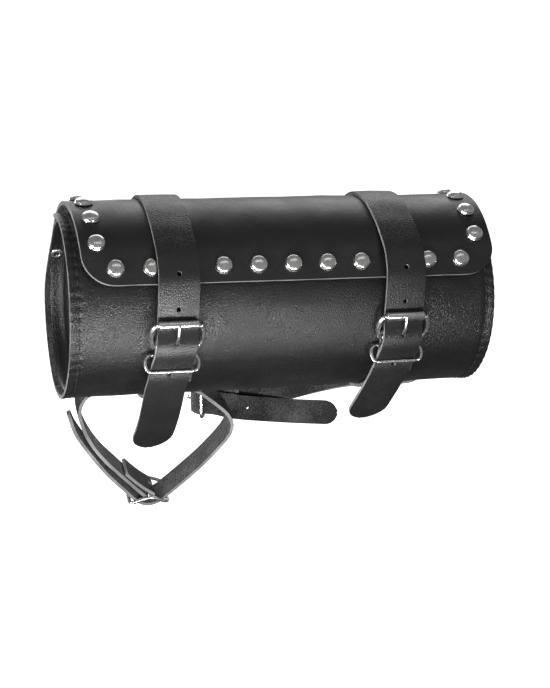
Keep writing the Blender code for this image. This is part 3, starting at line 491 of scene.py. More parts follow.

# %% [markdown]
# The sheet is laid out as a grid, close-set near its rims where the stitches are. Solidify gives it its
# 3 mm, with the flesh side as the second material and the cut edge as the third, and a small Bevel rounds
# the cut edges as a beveller does. The flap, top and back are one grid, which runs on round the hinge. The
# front is another, and they meet under the barrel.

# %% Lay out the sheet
RIM_WIDTH = 0.0125
RIM_STEP = 0.0014
MIDDLE_STEP = 0.0030
CORNER_LAPS = 17.4
FLAP_LAP_STEP = 2.0
BARREL_LAP_STEP = 1.55
EDGE_ROUNDING = 0.0007
SHARP_ANGLE = math.radians(50.0)


def side_shares():
    """Shares of the barrel's length: close-set over both rims and coarser between them."""
    rim_count = round(RIM_WIDTH / RIM_STEP)
    middle = BARREL_LENGTH - 2.0 * RIM_WIDTH
    middle_count = round(middle / MIDDLE_STEP)
    values = [RIM_WIDTH * index / rim_count for index in range(rim_count)]
    mirrored = [BARREL_LENGTH - value for value in reversed(values)]
    values += [RIM_WIDTH + middle * index / middle_count for index in range(middle_count + 1)]
    return [value / BARREL_LENGTH for value in values + mirrored]


def laps_between(first, last, step):
    count = max(1, round(abs(last - first) / step))
    return [first + (last - first) * index / count for index in range(count + 1)]


def finish_sheet(piece, thickness, offset, round_over):
    """Thickness, rounded cut edges and clean shading, applied."""
    solid = piece.modifiers.new("thickness", "SOLIDIFY")
    solid.thickness = thickness
    solid.offset = offset
    solid.use_even_offset = True
    solid.material_offset = 1
    solid.material_offset_rim = 2
    edge = piece.modifiers.new("edge", "BEVEL")
    edge.width = round_over
    edge.segments = 2
    edge.limit_method = "ANGLE"
    edge.angle_limit = SHARP_ANGLE
    piece.modifiers.new("normals", "WEIGHTED_NORMAL")
    return apply_stack(piece)


def apply_stack(piece):
    """Replace a piece's mesh by the finished one and drop its modifiers."""
    bpy.context.view_layer.update()
    done = bpy.data.meshes.new_from_object(piece.evaluated_get(bpy.context.evaluated_depsgraph_get()))
    old = piece.data
    piece.modifiers.clear()
    piece.data = done
    done.name = old.name
    if not old.users:
        bpy.data.meshes.remove(old)
    return piece


def face_out(mesh):
    """Turn a mesh's faces so that their outside is away from the barrel's axis."""
    balance = 0.0
    for face in mesh.polygons:
        balance += face.normal.dot(Vector((0.0, face.center.y, face.center.z))) * face.area
    if balance < 0.0:
        mesh.flip_normals()
    return mesh


def leather_sheet(name, laps, on_flap, paint):
    """A finished sheet over a run of lap angles; its outer face is where the points are."""
    rows = [[sheet_point(angle, share, on_flap) for share in side_shares()] for angle in laps]
    sheet = show(name, face_out(grid_mesh(name, rows)), paint, SUEDE, EDGE)
    return finish_sheet(sheet, LEATHER, -1.0, EDGE_ROUNDING)


def settle(piece, body, slot, *nodes):
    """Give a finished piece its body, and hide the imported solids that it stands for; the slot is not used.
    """
    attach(piece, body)
    if nodes:
        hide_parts(*nodes)


corner_end = FLAP_EDGE_ANGLE + CORNER_LAPS
corner_turns = [math.radians(turn) for turn in range(0, 90, 9)]
flap_laps = [FLAP_EDGE_ANGLE + CORNER_LAPS * (1.0 - math.cos(turn)) for turn in corner_turns]
flap_laps += laps_between(corner_end, HINGE_ANGLE, FLAP_LAP_STEP)
flap_laps += laps_between(HINGE_ANGLE, SEAM_ANGLE, BARREL_LAP_STEP)[1:]
over = leather_sheet("flap_and_back_leather", flap_laps, True, SMOOTH)
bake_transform(over)
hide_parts("flap_panel")
front_laps = laps_between(LIP_ANGLE, SEAM_ANGLE - FULL_TURN, BARREL_LAP_STEP)
front = leather_sheet("front_leather", front_laps, False, PEBBLED)
settle(front, "barrel", "black_leather", "barrel_body")
print("sheet faces:", len(over.data.polygons), "and", len(front.data.polygons))

# %% [markdown]
# Each end is a round of leather whose edge is turned outwards into a flange and sewn inside the rim. It is
# a turned shape, so half its section is enough: a profile of radius and height swept by the Screw modifier.
# The profile runs from top to bottom, and its pole is welded.

# %% The two ends
PANEL_RADIUS = BARREL_RADIUS - LEATHER - GAP
INSIDE_FLANGE = PANEL_RADIUS - 0.0032
PANEL_PROFILE = [(PANEL_RADIUS, -0.0042), (PANEL_RADIUS - 0.0004, -0.0035),
                 (PANEL_RADIUS - 0.0014, -0.0032), (PANEL_RADIUS - 0.0026, -0.0035),
                 (PANEL_RADIUS - 0.0031, -0.0045),
                 (PANEL_RADIUS - 0.0033, -0.0085), (PANEL_RADIUS - 0.0040, -0.0116),
                 (PANEL_RADIUS - 0.0060, -0.0134), (PANEL_RADIUS - 0.0090, -0.0139),
                 (0.0400, -0.0133), (0.0200, -0.0128), (0.0, -0.0126), (0.0, -0.0170),
                 (PANEL_RADIUS - 0.0070, -0.0170), (PANEL_RADIUS - 0.0022, -0.0162),
                 (PANEL_RADIUS, -0.0140)]
END_STEPS = 96
END_SWELL, END_SWELL_DENSITY, END_SWELL_RIM = 0.0009, 32.0, 0.02
WELD = 0.00001
SIDEWAYS = Vector((1.0, 0.0, 0.0))
UPRIGHT = Vector((0.0, 0.0, 1.0))
SIDES = (("left", -1.0), ("right", 1.0))


def placing(point, axis, side=SIDEWAYS):
    """A placing matrix at the point, with its Z on the axis and its X near the side direction."""
    up = axis.normalized()
    across = (side - up * side.dot(up)).normalized()
    turn = Matrix((across, up.cross(across), up)).transposed().to_4x4()
    return Matrix.Translation(point) @ turn


def turned(name, profile, place, steps, *paints, closed=False):
    """A turned piece, finished at its own origin and then put in its place."""
    mesh = bpy.data.meshes.new(name)
    edges = [(index, index + 1) for index in range(len(profile) - 1)]
    if closed:
        edges.append((len(profile) - 1, 0))
    mesh.from_pydata([(radius, 0.0, height) for radius, height in profile], edges, [])
    piece = show(name, mesh, *paints)
    screw = piece.modifiers.new("turn", "SCREW")
    screw.steps = steps
    screw.render_steps = steps
    screw.use_merge_vertices = True
    screw.merge_threshold = WELD
    screw.use_smooth_shade = True
    apply_stack(piece)
    work = bmesh.new()
    work.from_mesh(piece.data)
    bmesh.ops.remove_doubles(work, verts=work.verts, dist=WELD)
    bmesh.ops.recalc_face_normals(work, faces=work.faces)
    work.to_mesh(piece.data)
    work.free()
    piece.data.transform(place)
    piece.data.shade_smooth()
    return piece


for side, sign in SIDES:
    rim_place = placing(SIDEWAYS * (sign * BARREL_LENGTH / 2.0), SIDEWAYS * sign, UPRIGHT)
    end = turned(f"end_leather_{side}", PANEL_PROFILE, rim_place, END_STEPS, PEBBLED, closed=True)
    for point in end.data.vertices:
        from_rim = PANEL_RADIUS - math.hypot(point.co.y, point.co.z)
        swell = END_SWELL * noise.noise(point.co * END_SWELL_DENSITY)
        point.co.x += sign * swell * smoothstep(from_rim / END_SWELL_RIM)
    settle(end, "barrel", "black_leather", f"end_panel_{side}")
print("ends", round(2.0 * PANEL_RADIUS * MM, 1), "mm across")

# %% [markdown]
# The seams are hand-sewn with waxed black thread. Each stitch is a short fat strand that dips into its two
# holes, so it is a small ball stretched along the seam and bent down at its ends. All the stitches of one
# rim are one mesh. The holes show as darker dips, which the dents in the sheet already make.

# %% Stitches round both rims
STITCH_LENGTH = 0.0056
STITCH_RADIUS = 0.00048
STITCH_BED = 0.00018
STRAND_RINGS = [(-1.0, 0.25, -0.9), (-0.82, 0.80, -0.45), (-0.45, 1.0, 0.0), (0.0, 1.05, 0.12),
                (0.45, 1.0, 0.0), (0.82, 0.80, -0.45), (1.0, 0.25, -0.9)]
STRAND_TURNS = [math.radians(angle) for angle in range(0, 360, 45)]


def stitch(work, centre, along, up):
    """One strand lying on the leather, its ends dipping into the holes."""
    across = along.cross(up)
    loops = []
    for share, width, drop in STRAND_RINGS:
        middle = centre + along * (share * STITCH_LENGTH / 2.0) + up * (drop * STITCH_RADIUS)
        ring = [(across * math.cos(turn) + up * math.sin(turn)) * STITCH_RADIUS * width
                for turn in STRAND_TURNS]
        loops.append([work.verts.new(middle + out) for out in ring])
    for one, two in zip(loops, loops[1:]):
        for index in range(len(one)):
            after = (index + 1) % len(one)
            work.faces.new((one[index], one[after], two[after], two[index]))
    work.faces.new(list(reversed(loops[0])))
    work.faces.new(loops[-1])


def stitch_line(name, places):
    work = bmesh.new()
    for centre, along, up in places:
        stitch(work, centre, along, up)
    bmesh.ops.recalc_face_normals(work, faces=work.faces)
    mesh = bpy.data.meshes.new(name)
    work.to_mesh(mesh)
    work.free()
    mesh.shade_smooth()
    return show(name, mesh, THREAD)


seam_count = int((STITCH_FIRST_LAP - STITCH_LAST_LAP) / STITCH_STEP)
for side, sign in SIDES:
    places = []
    for index in range(seam_count):
        lap = STITCH_FIRST_LAP - (index + 0.5) * STITCH_STEP
        on_back = lap < SEAM_ANGLE - FULL_TURN
        angle = lap + FULL_TURN if on_back else lap
        x = sign * (BARREL_LENGTH / 2.0 - STITCH_INSET)
        radius = (flap_radius(angle) if on_back and angle < BACK else BARREL_RADIUS) - STITCH_BED
        places.append((lap_point(radius, angle, x), round_the_barrel(angle), outward(angle)))
        places.append((lap_point(INSIDE_FLANGE, angle, x), round_the_barrel(angle), -outward(angle)))
    settle(stitch_line(f"rim_stitches_{side}", places), "barrel", "black_leather")
print(seam_count, "stitches on each rim")

# %% [markdown]
# The studs are pressed domes with a thin turned-down lip that bites the leather. A dome is a turned shape,
# so its profile is an arc that runs from the crown to the lip and closes underneath. One profile serves
# every stud, and each is placed square to the leather at its own spot.

# %% Dome studs
STUD_RADIUS = 0.00635
STUD_HEIGHT = 0.0036
STUD_SINK = 0.0005
STUD_LIP = 0.00045
STUD_STEPS = 40
DOME_SHARE = 0.965
FULLER_SIDE, FLATTER_TOP = 0.92, 0.80


def dome_profile():
    """From the crown down the dome's round, over its lip, and back underneath to the middle."""
    profile = [(0.0, STUD_HEIGHT + STUD_LIP)]
    for angle in range(9, 90, 9):
        turn = math.radians(angle)
        profile.append((STUD_RADIUS * DOME_SHARE * math.sin(turn) ** FULLER_SIDE,
                        STUD_HEIGHT * math.cos(turn) ** FLATTER_TOP + STUD_LIP))
    return profile + [(STUD_RADIUS * DOME_SHARE, STUD_LIP), (STUD_RADIUS, STUD_LIP * 0.75),
                      (STUD_RADIUS * 0.995, STUD_LIP * 0.2), (STUD_RADIUS * 0.95, -STUD_SINK),
                      (0.0, -STUD_SINK)]


for name, (x, lap, body) in studs.items():
    seat = placing(lap_point(flap_radius(lap), lap, x), flap_normal(lap))
    dome = turned(name + "_dome", dome_profile(), seat, STUD_STEPS, NICKEL)
    settle(dome, body, "nickel_plate", name)
print(len(studs), "dome studs")

# %% [markdown]
# A strap is a long band, so it is laid out along the middle line of its leather: a smooth curve through a
# few places that it must pass, with a width direction at each. Its rows become a grid with a slight crown,
# Solidify gives the thickness, and Bevel rounds the long edges. Tips are round, so the last rows narrow.

# %% Bands of leather
CROWN = 0.00025
PEG_LENGTH = 0.008
PEG_SIDES = 20
STRAP_PAINTS = (STRAP, SUEDE, EDGE)
COLUMNS = 10
BAND_ROUNDING = 0.00055
CURL, CURL_DENSITY = 0.00016, 60.0
EDGE_CROWDING = 0.35
TIP_TURNS = (16, 32, 46, 57, 66, 74, 81, 86, 90)
BLUNTEST = 0.10


def spline_point(before, start, end, after, t):
    """A Catmull-Rom curve's point, a share t of the way from start to end."""
    return 0.5 * (2.0 * start + (end - before) * t
                  + (2.0 * before - 5.0 * start + 4.0 * end - after) * t ** 2
                  + (3.0 * start - before - 3.0 * end + after) * t ** 3)


def smooth_path(points, spacing):
    """A smooth curve through the points, read off at about the spacing."""
    points = [Vector(point) for point in points]
    ends = [points[0] * 2.0 - points[1], *points, points[-1] * 2.0 - points[-2]]
    path = [points[0]]
    for index in range(1, len(ends) - 2):
        before, start, end, after = ends[index - 1:index + 3]
        count = max(1, math.ceil((end - start).length / spacing))
        path += [spline_point(before, start, end, after, part / count) for part in range(1, count + 1)]
    return path


def tip_points(path, half):
    """The path with its last stretch split more finely, for a round tip."""
    last = path[-1]
    kept = list(path)
    while (kept[-1] - last).length <= half:
        kept.pop()
    return kept + [kept[-1].lerp(last, math.sin(math.radians(turn))) for turn in TIP_TURNS]


def half_width(half, distance, round_tip):
    """Half width at a distance from the strap's end."""
    if distance >= half or not round_tip:
        return half
    return max(math.sqrt(max(half ** 2 - (half - distance) ** 2, 0.0)), BLUNTEST * half)


def band(name, path, across, size, paints, round_tip=True, crown=CROWN):
    """A strap of a width and thickness along its middle line, first paint on its ahead x across side."""
    width, thickness = size
    rest = [0.0]
    for here, there in zip(reversed(path[1:]), reversed(path[:-1])):
        rest.append(rest[-1] + (here - there).length)
    rest.reverse()
    rows = []
    for index, (point, direction, distance) in enumerate(zip(path, across, rest)):
        ahead = (path[min(index + 1, len(path) - 1)] - path[max(index - 1, 0)]).normalized()
        reach = direction.normalized() * half_width(width / 2.0, distance, round_tip)
        up = ahead.cross(direction).normalized()
        row = []
        for column in range(COLUMNS + 1):
            even = 2.0 * column / COLUMNS - 1.0
            share = math.sin(even * math.pi / 2.0) * EDGE_CROWDING + even * (1.0 - EDGE_CROWDING)
            wave = CURL * noise.noise((point + reach * share) * CURL_DENSITY)
            row.append(point + reach * share + up * (crown * (0.5 - share ** 2) + wave))
        rows.append(row)
    mesh = grid_mesh(name, rows)
    mesh.flip_normals()
    return finish_sheet(show(name, mesh, *paints), thickness, 0.0, BAND_ROUNDING)


def along(path, start, distance):
    """The point and direction at a distance along the path from the place nearest to start."""
    lengths = [0.0]
    for one, two in zip(path, path[1:]):
        lengths.append(lengths[-1] + (two - one).length)
    nearest = min(range(len(path)), key=lambda index: (path[index] - start).length)
    wanted = lengths[nearest] + distance
    for index in range(len(path) - 1):
        if lengths[index] <= wanted <= lengths[index + 1]:
            share = (wanted - lengths[index]) / (lengths[index + 1] - lengths[index])
            return path[index].lerp(path[index + 1], share), (path[index + 1] - path[index]).normalized()
    return path[-1], (path[-1] - path[-2]).normalized()


def cut(piece, work):
    """Cut the shapes in a working mesh out of a finished strap; their walls show the cut leather."""
    mesh = bpy.data.meshes.new("cutter")
    work.to_mesh(mesh)
    work.free()
    cutter = show("cutter", mesh, EDGE)
    hole = piece.modifiers.new("hole", "BOOLEAN")
    hole.operation = "DIFFERENCE"
    hole.solver = "EXACT"
    hole.object = cutter
    hole.material_mode = "TRANSFER"
    apply_stack(piece)
    bpy.data.objects.remove(cutter, do_unlink=True)


def punch(piece, spots, radius, length=PEG_LENGTH):
    """Round holes through a finished strap, one for each spot and the way it faces."""
    work = bmesh.new()
    for spot, facing in spots:
        bmesh.ops.create_cone(work, cap_ends=True, segments=PEG_SIDES, radius1=radius, radius2=radius,
                              depth=length, matrix=placing(spot, facing))
    cut(piece, work)


print("each band has", COLUMNS, "columns of faces")

# %% [markdown]
# Each closing strap is riveted behind the top of the flap, lies over the flap and its studs, and comes
# down behind the roller of its buckle. It passes out through the frame, over the heel bar, under the
# keeper's lower bar, and hangs in a loose end that drifts a little sideways. The middle line follows those
# places, given as a lap angle, a distance from the barrel's axis, and the drift along the barrel.

# %% The closing straps
STRAP_WIDTH = 0.028
STRAP_LEATHER = 0.0026
LEFT_STRAP_X = -0.0800
RIGHT_STRAP_X = 0.0815
HOLE_PITCH = 0.024
HOLE_RADIUS = 0.0017
HEEL_ANGLE = -18.5
HEEL_RADIUS = 0.0700
FRAME_WIRE = 0.0018
FRAME_LENGTH = 0.018
ROLLER_LIFT = 0.0062
ROLLER_RADIUS = 0.00315
ROLLER_LENGTH = 0.0275
PRONG_WIRE = 0.0014
BUCKLE_SHIFT = -0.0012
PRONG_SHIFT = -0.0018
STRAP_STEP = 0.0018
OVER_STUD = STUD_HEIGHT + 2.0 * GAP
LIFTS_OVER_FLAP = [(123.0, 0.0), (108.0, 0.0), (90.0, 0.0), (70.0, 0.0), (52.0, 0.0004), (40.0, 0.0022),
                   (31.0, OVER_STUD), (25.0, OVER_STUD + 0.0002), (18.0, OVER_STUD - 0.0005)]
DOWN_TO_KEEPER = [(10.0, 0.0752, -0.0003), (2.0, 0.0726, -0.0005), (-4.5, 0.0713, -0.0008),
                  (-9.0, 0.0724, -0.0011), (-12.5, 0.0741, -0.0014), (-15.5, 0.0758, -0.0018),
                  (-18.5, 0.0767, -0.0023), (-22.0, 0.0766, -0.0030), (-26.0, 0.0758, -0.0038),
                  (-30.0, 0.0753, -0.0047)]
PIERCED_PLACE = (0.0758, -15.5)
HOLE_STEPS = (-2, -1, 0, 1)


def closing_laps(x):
    """The strap's middle line from its riveted end to the keeper."""
    over = STRAP_LEATHER / 2.0 + GAP
    return ([lap_point(flap_radius(angle) + over + lift, angle, x) for angle, lift in LIFTS_OVER_FLAP]
            + [lap_point(radius, angle, x + drift) for angle, radius, drift in DOWN_TO_KEEPER])


TAILS = {
    "left": [(-0.0060, -0.0628, -0.0446), (-0.0076, -0.0570, -0.0545), (-0.0084, -0.0496, -0.0660),
             (-0.0094, -0.0405, -0.0785), (-0.0112, -0.0305, -0.0905), (-0.0134, -0.0215, -0.0995)],
    "right": [(-0.0068, -0.0628, -0.0446), (-0.0098, -0.0560, -0.0560), (-0.0134, -0.0470, -0.0680),
              (-0.0158, -0.0365, -0.0790), (-0.0172, -0.0290, -0.0855)],
}
STRAPS = (("left", LEFT_STRAP_X), ("right", RIGHT_STRAP_X))

for side, x in STRAPS:
    tail = [Vector((x + drift, y, z)) for drift, y, z in TAILS[side]]
    path = smooth_path([*closing_laps(x), *tail], STRAP_STEP)
    rows = tip_points(path, STRAP_WIDTH / 2.0)
    level_rows = [SIDEWAYS] * len(rows)
    size = (STRAP_WIDTH, STRAP_LEATHER)
    strap = band(f"closing_leather_{side}", rows, level_rows, size, STRAP_PAINTS)
    face_out(strap.data)
    spots = []
    for steps in HOLE_STEPS:
        spot, direction = along(path, lap_point(*PIERCED_PLACE, x), steps * HOLE_PITCH)
        spots.append((spot, Vector((0.0, -direction.z, direction.y))))
    punch(strap, spots, HOLE_RADIUS)
    settle(strap, "flap", "strap_leather", f"closing_strap_{side}")
    print(strap.name, len(strap.data.polygons), "faces")

# %% [markdown]
# Under each closing strap lies a narrower buckle strap. One end folds over the buckle's heel bar and back
# under itself, held by a rivet, and the other runs down the front and round underneath to the back, where
# the mounting strap is riveted over it. The prong needs a slot in the fold.

# %% The buckle straps
BUCKLE_STRAP_WIDTH = 0.027
KEEPER_RADIUS = 0.0694
KEEPER_ANGLE = -24.5
KEEPER_WIRE = 0.0012
WRAP_RADIUS = FRAME_WIRE + GAP + STRAP_LEATHER / 2.0
REAR_FIRST, REAR_LAST, REAR_STEP = -23.0, -128.0, 2.5
WRAP_STEP = 12
BUCKLE_STRAP_CROWN = 0.0001
KEEPER_PLAY = 2.6 * GAP
PRONG_SLOT = (2.0 * (PRONG_WIRE + GAP), 0.0125, 0.0150)
SLOT_OUT, SLOT_UP = 0.0012, 0.0010


def buckle_strap_path(x):
    """From the fold-back end, over the heel bar, down the front and under the barrel."""
    heel = lap_point(HEEL_RADIUS, HEEL_ANGLE, x)
    near = BARREL_RADIUS + GAP + STRAP_LEATHER / 2.0
    double = near + STRAP_LEATHER + GAP
    keeper_layer = KEEPER_RADIUS + KEEPER_WIRE + KEEPER_PLAY + STRAP_LEATHER / 2.0
    places = [(double, -45.0), (double, -40.0), (double + 0.0003, -34.0), (keeper_layer - 0.0008, -28.5),
              (keeper_layer + 0.0002, KEEPER_ANGLE), (HEEL_RADIUS + WRAP_RADIUS - 0.0001, -20.5)]
    fold = [lap_point(radius, angle, x) for radius, angle in places]
    wrap = [heel + WRAP_RADIUS * (outward(HEEL_ANGLE) * math.cos(math.radians(turn))
                                  + round_the_barrel(HEEL_ANGLE) * math.sin(math.radians(turn)))
            for turn in range(0, 181, WRAP_STEP)]
    rear = [lap_point(near, angle, x) for angle in laps_between(REAR_FIRST, REAR_LAST, REAR_STEP)]
    return smooth_path(fold, STRAP_STEP) + wrap + rear


def slot_in(piece, middle, across, ahead, size):
    """A square-cut slot through a finished strap."""
    work = bmesh.new()
    up = across.cross(ahead).normalized()
    turn = Matrix((across.normalized(), ahead.normalized(), up)).transposed().to_4x4()
    place = Matrix.Translation(middle) @ turn @ Matrix.Diagonal((*size, 1.0))
    bmesh.ops.create_cube(work, size=1.0, matrix=place)
    cut(piece, work)


for side, x in STRAPS:
    rows = buckle_strap_path(x + BUCKLE_SHIFT)
    size = (BUCKLE_STRAP_WIDTH, STRAP_LEATHER)
    lower = band(f"buckle_leather_{side}", rows, [SIDEWAYS] * len(rows), size, STRAP_PAINTS,
                 round_tip=False, crown=BUCKLE_STRAP_CROWN)
    heel = lap_point(HEEL_RADIUS, HEEL_ANGLE, x + PRONG_SHIFT)
    middle = heel + outward(HEEL_ANGLE) * SLOT_OUT + round_the_barrel(HEEL_ANGLE) * SLOT_UP
    slot_in(lower, middle, SIDEWAYS, outward(HEEL_ANGLE), PRONG_SLOT)
    settle(lower, "barrel", "strap_leather", f"buckle_strap_{side}")
print("buckle straps", BUCKLE_STRAP_WIDTH * MM, "mm wide")

# %% [markdown]
# A roller buckle is three pieces: a bent wire frame, a tube that turns on its upper bar so that the strap
# slides without wear, and a prong. Wire is a curve with a round bevel. The curve's points are smoothed
# first, and the bevel is fine enough that no flats show in the reflections.

# %% The roller buckles
WIRE_WELD = 0.000005
FRAME_STEP = 0.0012
ROLLER_REACH_RADIUS = 0.0730
ROLLER_PLAY = 0.0002
ROLLER_STEPS = 40
FRAME_SIDE = [(0.0135, 0.0), (0.0150, 0.0), (0.0166, 0.0012), (0.0178, 0.0045), (0.0181, 0.0095),
              (0.0172, 0.0145), (0.0158, 0.0172), (0.0145, 0.0180), (0.0130, 0.0180)]
ROLLER_END = [(0.0006, 0.0), (0.0002, 0.0001), (0.0, 0.0005)]


def wire(name, path, radius, closed=False, radii=None):
    """A round nickel wire along a path, as a curve's own bevel turned into a mesh with welded ends."""
    data = bpy.data.curves.new(name, "CURVE")
    data.dimensions = "3D"
    data.bevel_depth = radius
    data.bevel_resolution = 5
    data.use_fill_caps = True
    spline = data.splines.new("POLY")
    spline.points.add(len(path) - 1)
    for index, (knot, point) in enumerate(zip(spline.points, path)):
        knot.co = (*point, 1.0)
        knot.radius = radii[index] if radii else 1.0
    spline.use_cyclic_u = closed
    guide = bpy.data.objects.new(name + "_guide", data)
    bpy.context.scene.collection.objects.link(guide)
    bpy.context.view_layer.update()
    mesh = bpy.data.meshes.new_from_object(guide.evaluated_get(bpy.context.evaluated_depsgraph_get()))
    bpy.data.objects.remove(guide, do_unlink=True)
    work = bmesh.new()
    work.from_mesh(mesh)
    bmesh.ops.remove_doubles(work, verts=work.verts, dist=WIRE_WELD)
    bmesh.ops.recalc_face_normals(work, faces=work.faces)
    work.to_mesh(mesh)
    work.free()
    mesh.name = name
    mesh.shade_smooth()
    mesh.materials.clear()
    return show(name, mesh, NICKEL)


def ring_path(corners, spacing):
    """A closed smooth path through the corners of a bent frame."""
    wrapped = [corners[-1], *corners, corners[0], corners[1]]
    path = []
    for index in range(1, len(corners) + 1):
        before, start, end, after = wrapped[index - 1:index + 3]
        steps = max(1, math.ceil((end - start).length / spacing))
        path += [spline_point(before, start, end, after, part / steps) for part in range(steps)]
    return path


def both_sides(half_outline):
    """A frame's outline from one side of it, with the other side mirrored and run back."""
    return half_outline + [(-across, up) for across, up in reversed(half_outline)]


def hoop(heel, ring):
    """A ring of points round the heel bar."""
    return [heel + ring * (outward(HEEL_ANGLE) * math.cos(math.radians(turn))
                           + round_the_barrel(HEEL_ANGLE) * math.sin(math.radians(turn)))
            for turn in range(0, 360, WRAP_STEP)]


def merge(target, *others):
    """Join finished meshes into one piece."""
    work = bmesh.new()
    for piece in (target, *others):
        work.from_mesh(piece.data)
    work.to_mesh(target.data)
    work.free()
    for piece in others:
        bpy.data.objects.remove(piece, do_unlink=True)
    target.data.shade_smooth()
    return target


def buckle_bars(x):
    """Heel bar, roller bar and the direction between them."""
    heel = lap_point(HEEL_RADIUS, HEEL_ANGLE, x)
    reach = math.degrees(math.sqrt(FRAME_LENGTH ** 2 - ROLLER_LIFT ** 2) / ROLLER_REACH_RADIUS)
    roller = lap_point(HEEL_RADIUS + ROLLER_LIFT, HEEL_ANGLE + reach, x)
    return heel, roller, (roller - heel).normalized()


for side, x in STRAPS:
    heel, roller, up = buckle_bars(x + BUCKLE_SHIFT)
    corners = [heel + SIDEWAYS * px + up * pz for px, pz in both_sides(FRAME_SIDE)]
    buckle = wire(f"buckle_wire_{side}", ring_path(corners, FRAME_STEP), FRAME_WIRE, closed=True)
    settle(buckle, f"buckle_{side}", "nickel_plate", f"buckle_frame_{side}")
    half = ROLLER_LENGTH / 2.0
    bore = FRAME_WIRE + ROLLER_PLAY
    rounded = [(ROLLER_RADIUS - inset, half - back) for inset, back in ROLLER_END]
    far_end = [(radius, -place) for radius, place in reversed(rounded)]
    section = [(bore, half), *rounded, *far_end, (bore, -half)]
    on_bar = placing(roller, SIDEWAYS, up)
    tube = turned(f"roller_tube_{side}", section, on_bar, ROLLER_STEPS, NICKEL, closed=True)
    settle(tube, f"roller_{side}", "nickel_plate", f"buckle_roller_{side}")
print("frame wire", 2.0 * FRAME_WIRE * MM, "mm thick, roller", 2.0 * ROLLER_RADIUS * MM, "mm")

# %% [markdown]
# A prong is one wire: an eye that is closed round the heel bar, and a tongue that rises through the strap's
# hole and rests on the roller. The eye and the tongue are two wires joined into one piece, and the tongue's
# point radius falls towards its tip.

# %% The prongs
TONGUE_STEP = 0.0008
TONGUE_ROOT = (0.55, 0.86)
TONGUE_PLACES = [(0.0757, -15.3), (0.0781, -13.4), (0.0801, -10.2)]
TONGUE_REACH, TONGUE_POINT, TONGUE_DROP = 13.3, 0.9, 0.0004
TONGUE_TAPER, TONGUE_TIP = 0.22, 0.55
CLOSEST_POINTS = 0.0002
for side, x in STRAPS:
    middle = x + PRONG_SHIFT
    heel = lap_point(HEEL_RADIUS, HEEL_ANGLE, middle)
    ring = FRAME_WIRE + GAP + PRONG_WIRE
    eye = wire(f"prong_{side}", hoop(heel, ring), PRONG_WIRE, closed=True)
    root = [direction * ring * share for direction, share in
            zip((outward(HEEL_ANGLE), round_the_barrel(HEEL_ANGLE)), TONGUE_ROOT)]
    rest = HEEL_RADIUS + ROLLER_LIFT + ROLLER_RADIUS + GAP + PRONG_WIRE
    tip = HEEL_ANGLE + TONGUE_REACH
    line = smooth_path([heel + root[0] + root[1], *[lap_point(*spot, middle) for spot in TONGUE_PLACES],
                        lap_point(rest, tip, middle),
                        lap_point(rest - TONGUE_DROP, tip + TONGUE_POINT, middle)], TONGUE_STEP)
    line = [point for index, point in enumerate(line)
            if index == 0 or (point - line[index - 1]).length > CLOSEST_POINTS]
    taper = [1.0 - TONGUE_TAPER * smoothstep(index / (len(line) - 1)) for index in range(len(line))]
    taper[-1] = TONGUE_TIP
    merge(eye, wire(f"tongue_{side}", line, PRONG_WIRE, radii=taper))
    settle(eye, f"prong_{side}", "nickel_plate", f"buckle_prong_{side}")
print("prongs rest on the rollers")

# %% [markdown]
# A keeper is a flattened loop of thinner wire. Its upper bar lies in the buckle strap's fold, and its lower
# bar holds the closing strap's end down.

# %% The keepers
KEEPER_WIDTH = 0.0368
KEEPER_DROP = 0.0118
KEEPER_TILT = 45.0
KEEPER_SHIFT = 0.0038
KEEPER_CORNER = KEEPER_DROP * 0.34
CORNER_SHAPE = [(1.3, 0.0), (1.0, 0.0), (0.35, 0.28), (0.0, 1.0)]
keeper_half = [(KEEPER_WIDTH / 2.0 - inset * KEEPER_CORNER, drop * KEEPER_CORNER)
               for inset, drop in CORNER_SHAPE]
keeper_half += [(across, KEEPER_DROP - drop) for across, drop in reversed(keeper_half)]
tilt = math.radians(KEEPER_TILT)
down = outward(KEEPER_ANGLE) * math.sin(tilt) - round_the_barrel(KEEPER_ANGLE) * math.cos(tilt)
for side, x in STRAPS:
    top = lap_point(KEEPER_RADIUS, KEEPER_ANGLE, x - KEEPER_SHIFT)
    corners = [top + SIDEWAYS * px + down * pz for px, pz in both_sides(keeper_half)]
    loop = wire(f"keeper_wire_{side}", ring_path(corners, FRAME_STEP), KEEPER_WIRE, closed=True)
    settle(loop, f"keeper_{side}", "nickel_plate", f"keeper_{side}")
print("keepers", KEEPER_WIDTH * MM, "mm wide")

# %% [markdown]
# Tubular rivets hold the layers: a rolled flange on the outside with an open bore, and a washer inside.
# Each is a turned ring whose profile goes round the section of its wall. One more holds the left end's
# flange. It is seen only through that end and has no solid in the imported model, so it replaces none.

# %% Tubular rivets
RIVET_RADIUS = 0.0048
RIVET_BORE = 0.0013
RIVET_SHANK = 0.0021
RIVET_FLANGE = 0.0009
RIVET_LIFT, RIVET_PLAY = 0.0001, 0.0003
RIVET_STEPS = 36
ROLLED_LIP = [(0.0, 0.0002), (0.0003, 0.0008), (0.0009, RIVET_FLANGE * 1.25)]
ROLLED_BACK = [(0.72, 1.05), (0.93, 0.6), (1.0, 0.0)]
CLOSING_RIVET_ANGLE = 118.0
BUCKLE_RIVET_ANGLE = -39.5
FLANGE_RIVET_ANGLE, FLANGE_RIVET_X, FLANGE_GRIP = 145.5, -0.1445, 0.0012


